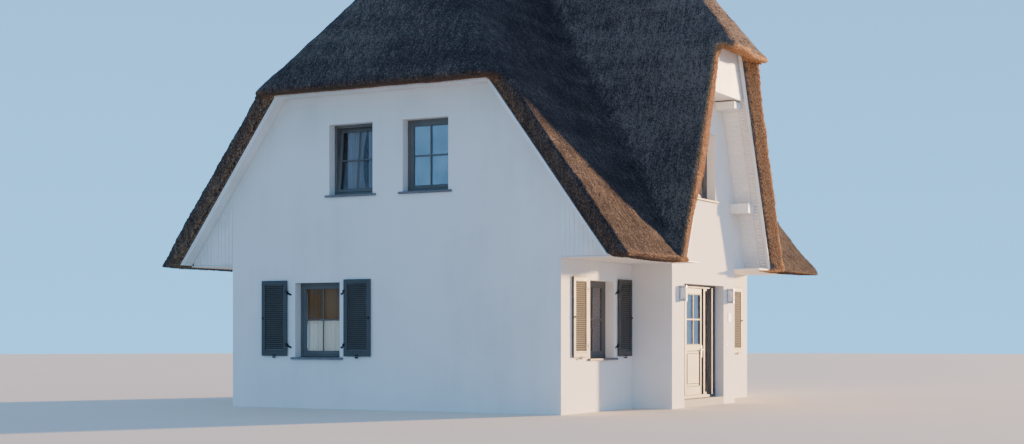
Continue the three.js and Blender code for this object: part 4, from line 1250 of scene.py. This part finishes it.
def door_leaf():
    """Framed leaf with four panes over a fielded panel"""
    place = on_wall("bay")
    front, back = LEAF_DEPTH
    bm, pane, iron = bmesh.new(), bmesh.new(), bmesh.new()
    ring(bm, DOOR_Y, DOOR_Z, DOOR_STILE, front, back, 0.005)
    inner = wider(DOOR_Y, -DOOR_STILE)
    lock = LIGHT_Z[0] - LOCK_RAIL
    light, panel = (LIGHT_Z[0], LIGHT_Z[1] - TOP_RAIL), (FOOT_RAIL[1], lock)
    for rail in ((lock, light[0]), FOOT_RAIL, (light[1], LIGHT_Z[1])):
        bar(bm, wider(inner, TENON), (front + 0.001, back - 0.001), rail, 0.005)
    bar(bm, wider(inner, 0.001), (front + 0.022, back - 0.022), wider(panel, 0.01), 0.001)
    bar(bm, wider(inner, -0.05), (front + 0.006, back - 0.006), wider(panel, -0.05), 0.014)
    ring(bm, wider(inner, 0.001), wider(panel, 0.001), 0.016, front + 0.008, front + 0.024)
    ring(bm, wider(inner, 0.001), wider(light, 0.001), 0.014, front + 0.008, front + 0.022)
    bar_y = (front + 0.006, front + 0.022)
    bar(bm, about(sum(DOOR_Y) / 2, DOOR_BAR_HALF), bar_y, wider(light, TENON), 0.004)
    bar(bm, wider(inner, TENON), wider(bar_y, -0.0005), about(sum(light) / 2, DOOR_BAR_HALF), 0.004)
    bar(bm, wider(DOOR_Y, -0.012), (front - 0.02, front + 0.001),
        (DOOR_Z[0] + 0.012, DOOR_Z[0] + 0.05), 0.006)
    piece("door_leaf_joinery", bm, SLATE, ["door_leaf"], "entrance_door", place=place)

    bar(pane, wider(inner, PANE_IN), (front + 0.024, front + 0.04), (light[0] - 0.004, light[1] + 0.005),
        0.001)
    piece("door_pane", pane, GLASS, ["door_glass"], "entrance_door", place=place)

    grip, reach = DOOR_Y[1] - GRIP_IN, front - 0.055
    tip = (grip - LEVER_LONG, reach, LEVER_Z - 0.004)
    bar(iron, about(grip, 0.021), (front - 0.007, front + 0.0005), GRIP_PLATE, 0.004)
    rod(iron, (grip, front - 0.006, LEVER_Z), (grip, reach, LEVER_Z), 0.009)
    rod(iron, (grip + 0.008, reach, LEVER_Z), tip, 0.0095)
    knob(iron, tip, 0.0105)
    rod(iron, (grip, front - 0.006, KEY_Z), (grip, front - 0.012, KEY_Z), 0.011)
    for low in DOOR_HINGES:
        z = (low, low + HINGE_TALL)
        rod(iron, (*DOOR_PIN, z[0]), (*DOOR_PIN, z[1]), PIN_RADIUS)
        bar(iron, (DOOR_Y[0] + 0.0005, DOOR_Y[0] + 0.025), (back - 0.001, back + 0.003), z, 0.001)
        bar(iron, (DOOR_PIN[0] - 0.002, DOOR_Y[0] + 0.02), (back + 0.002, back + 0.0085), z, 0.001)
    piece("door_furniture", iron, LAMP_METAL, body="entrance_door", place=place)


def door_surround():
    """Fixed frame with a sidelight on each side of the leaf, and its half of the hinges"""
    place = on_wall("bay")
    front, back = REVEAL, REVEAL + 0.09
    bm, panes, iron = bmesh.new(), bmesh.new(), bmesh.new()
    ring(bm, wider(NICHE_Y, -0.001), wider((FLOOR_TOP, NICHE_HEAD), -0.001), POST, front, back, 0.005)
    near = (NICHE_Y[0] + POST, DOOR_Y[0] - SWING - POST)
    far = (DOOR_Y[1] + SWING + POST, NICHE_Y[1] - POST)
    z = wider((FLOOR_TOP, NICHE_HEAD), -POST)
    for x in (near, far):
        ring(bm, wider(x, 0.001), wider(z, 0.001), 0.045, front + 0.014, back - 0.012, 0.005)
        bar(panes, wider(x, -0.04), (front + 0.04, front + 0.056), wider(z, -0.04), 0.001)
    for post in (near[1], far[0] - POST):
        bar(bm, (post, post + POST), (front + 0.0005, back - 0.0005), wider(z, TENON), 0.004)
    bar(bm, about(sum(far) / 2, 0.02), (front - 0.055, front + 0.03), wider(z, 0.01), 0.004)
    piece("door_surround", bm, SLATE, ["door_frame"], place=place)
    piece("sidelight_panes", panes, GLASS, place=place)

    for high in DOOR_HINGES:
        z = (high - HINGE_TALL, high - 0.0005)
        rod(iron, (*DOOR_PIN, z[0]), (*DOOR_PIN, z[1]), PIN_RADIUS)
        bar(iron, (DOOR_PIN[0] - 0.025, DOOR_PIN[0] - 0.004), (back - 0.001, back + 0.006), z, 0.001)
        bar(iron, (DOOR_PIN[0] - 0.024, DOOR_PIN[0] + 0.003), (back + 0.005, back + 0.011), z, 0.001)
    piece("door_frame_hinges", iron, LAMP_METAL, place=place)


door_leaf()
door_surround()


# Lamps, a blank plate and a bell push

LAMP_RADIUS = 0.06
LAMP_MIDDLE = 0.07
LAMP_FOOT = 2.05
LAMP_TALL = 0.3
LAMP_CAP = 0.045
LAMP_BARS = (-0.03, 0.0, 0.03)
PLATE = ((1.29, 1.45), (1.67, 1.85))
BELL = (1.22, 1.22)


def lamp_shell(bm, radius, back, low, high):
    """A body that is flat at the wall and half round in front"""
    middle = Vector((LAMP_MIDDLE, 0, low))
    start = bm.verts.new(middle + Vector((0, -radius, 0)))
    bmesh.ops.spin(bm, geom=[start], cent=middle, axis=(0, 0, 1), angle=math.pi, steps=14,
                   use_merge=False, dvec=(0, 0, 0))
    arc = sorted(bm.verts, key=lambda vert: vert.co.y)
    plan = bm.faces.new([*arc, bm.verts.new((back, radius, low)), bm.verts.new((back, -radius, low))])
    pull(bm, [plan], (0, 0, high - low))


def lamp(label, y):
    """Two caps, a back plate and three bars, around a white shade"""
    place = Matrix.Translation((BAY_FACE, y, LAMP_FOOT))
    caps, shell = bmesh.new(), bmesh.new()
    for low, high in ((0.0, LAMP_CAP), (LAMP_TALL - LAMP_CAP, LAMP_TALL)):
        part = bmesh.new()
        lamp_shell(part, LAMP_RADIUS, 0.001, low, high)
        take_in(caps, part)
    upright = (0.04, LAMP_TALL - 0.04)
    bar(caps, (0.001, 0.02), about(0, LAMP_RADIUS), upright, 0.002)
    for middle in LAMP_BARS:
        bar(caps, (0.1, 0.128), about(middle, 0.003), upright, 0.001)
    lamp_shell(shell, LAMP_RADIUS - 0.006, 0.021, 0.044, LAMP_TALL - 0.044)
    piece(f"lamp_caps_{label}", caps, LAMP_METAL, [f"wall_lamp_{label}"], place=place)
    piece(f"lamp_shade_{label}", shell, WHITE, place=place)


lamp("front", -1.26)
lamp("rear", 1.3)

plate = bmesh.new()
bar(plate, (BAY_FACE + 0.001, BAY_FACE + 0.012), *PLATE)
piece("blank_plate", plate, WHITE)
bell = bmesh.new()
for near, far, radius, sides in ((0.001, 0.008, 0.022, 20), (0.008, 0.014, 0.009, 16)):
    rod(bell, (BAY_FACE + near, *BELL), (BAY_FACE + far, *BELL), radius, sides)
piece("bell_push", bell, LAMP_METAL)


# Finishes of the nodes that stay

for node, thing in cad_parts.items():
    if thing.hide_render:
        continue
    thing.data.materials.clear()
    thing.data.materials.append(CONCRETE if node.endswith("_floor") else PLASTER)


# Floor, light and camera

FLOOR_RADIUS = 90
SKY = ((0.0, (0.19, 0.57, 1.0)), (0.5, (0.19, 0.305, 0.56)))
SKY_STRENGTH = 1.9
SUN_STRENGTH = 17.5
SUN_COLOUR = (1.0, 0.62, 0.30)
SUN_SPREAD = math.radians(3.0)
SUN_HEIGHT = math.radians(6.5)
SUN_AZIMUTH = math.radians(61.5)
EYE = (16.12, -29.70, 1.41)
EYE_TURN = math.radians(28.36)
LENS = 56.2
LENS_SHIFT = 0.110


def stage():
    bm = bmesh.new()
    bmesh.ops.create_circle(bm, cap_ends=True, segments=96, radius=FLOOR_RADIUS)
    mesh = bpy.data.meshes.new("studio_floor")
    bm.to_mesh(mesh)
    bm.free()
    finish = Finish("studio_floor")
    mesh.materials.append(finish.paint(finish.blend(finish.mottle(0.2, 2.0), "dccfba", "e4d8c5"), 0.9))
    floor = linked("studio_floor", mesh)
    floor.location.z = -0.002


def light():
    """One low warm sun, and a blue sky that is brightest at the horizon"""
    sun = linked("key", bpy.data.lights.new("key", "SUN"))
    sun.data.energy = SUN_STRENGTH
    sun.data.angle = SUN_SPREAD
    sun.data.color = SUN_COLOUR
    way = Matrix.Rotation(SUN_AZIMUTH, 3, "Z") @ Matrix.Rotation(-SUN_HEIGHT, 3, "Y") @ Vector((1, 0, 0))
    sun.rotation_euler = way.to_track_quat("Z", "Y").to_euler()
    world = bpy.data.worlds.new("studio")
    bpy.context.scene.world = world
    world.use_nodes = True
    tree = world.node_tree
    sky = tree.nodes["Background"]
    where = tree.nodes.new("ShaderNodeTexCoord")
    parts = tree.nodes.new("ShaderNodeSeparateXYZ")
    tones = tree.nodes.new("ShaderNodeValToRGB")
    for element, (place, colour) in zip(tones.color_ramp.elements, SKY):
        element.position = place
        element.color = (*colour, 1)
    tree.links.new(where.outputs["Generated"], parts.inputs["Vector"])
    tree.links.new(parts.outputs["Z"], tones.inputs["Fac"])
    tree.links.new(tones.outputs["Color"], sky.inputs["Color"])
    sky.inputs["Strength"].default_value = SKY_STRENGTH


def camera():
    """A level camera with a raised lens, as the photo's upright lines ask"""
    eye = linked("camera", bpy.data.cameras.new("camera"))
    eye.location = EYE
    eye.rotation_euler = (math.radians(90), 0, EYE_TURN)
    eye.data.sensor_width = 36
    eye.data.lens = LENS
    eye.data.shift_y = LENS_SHIFT
    eye.data.clip_end = 400
    bpy.context.scene.camera = eye


stage()
light()
camera()
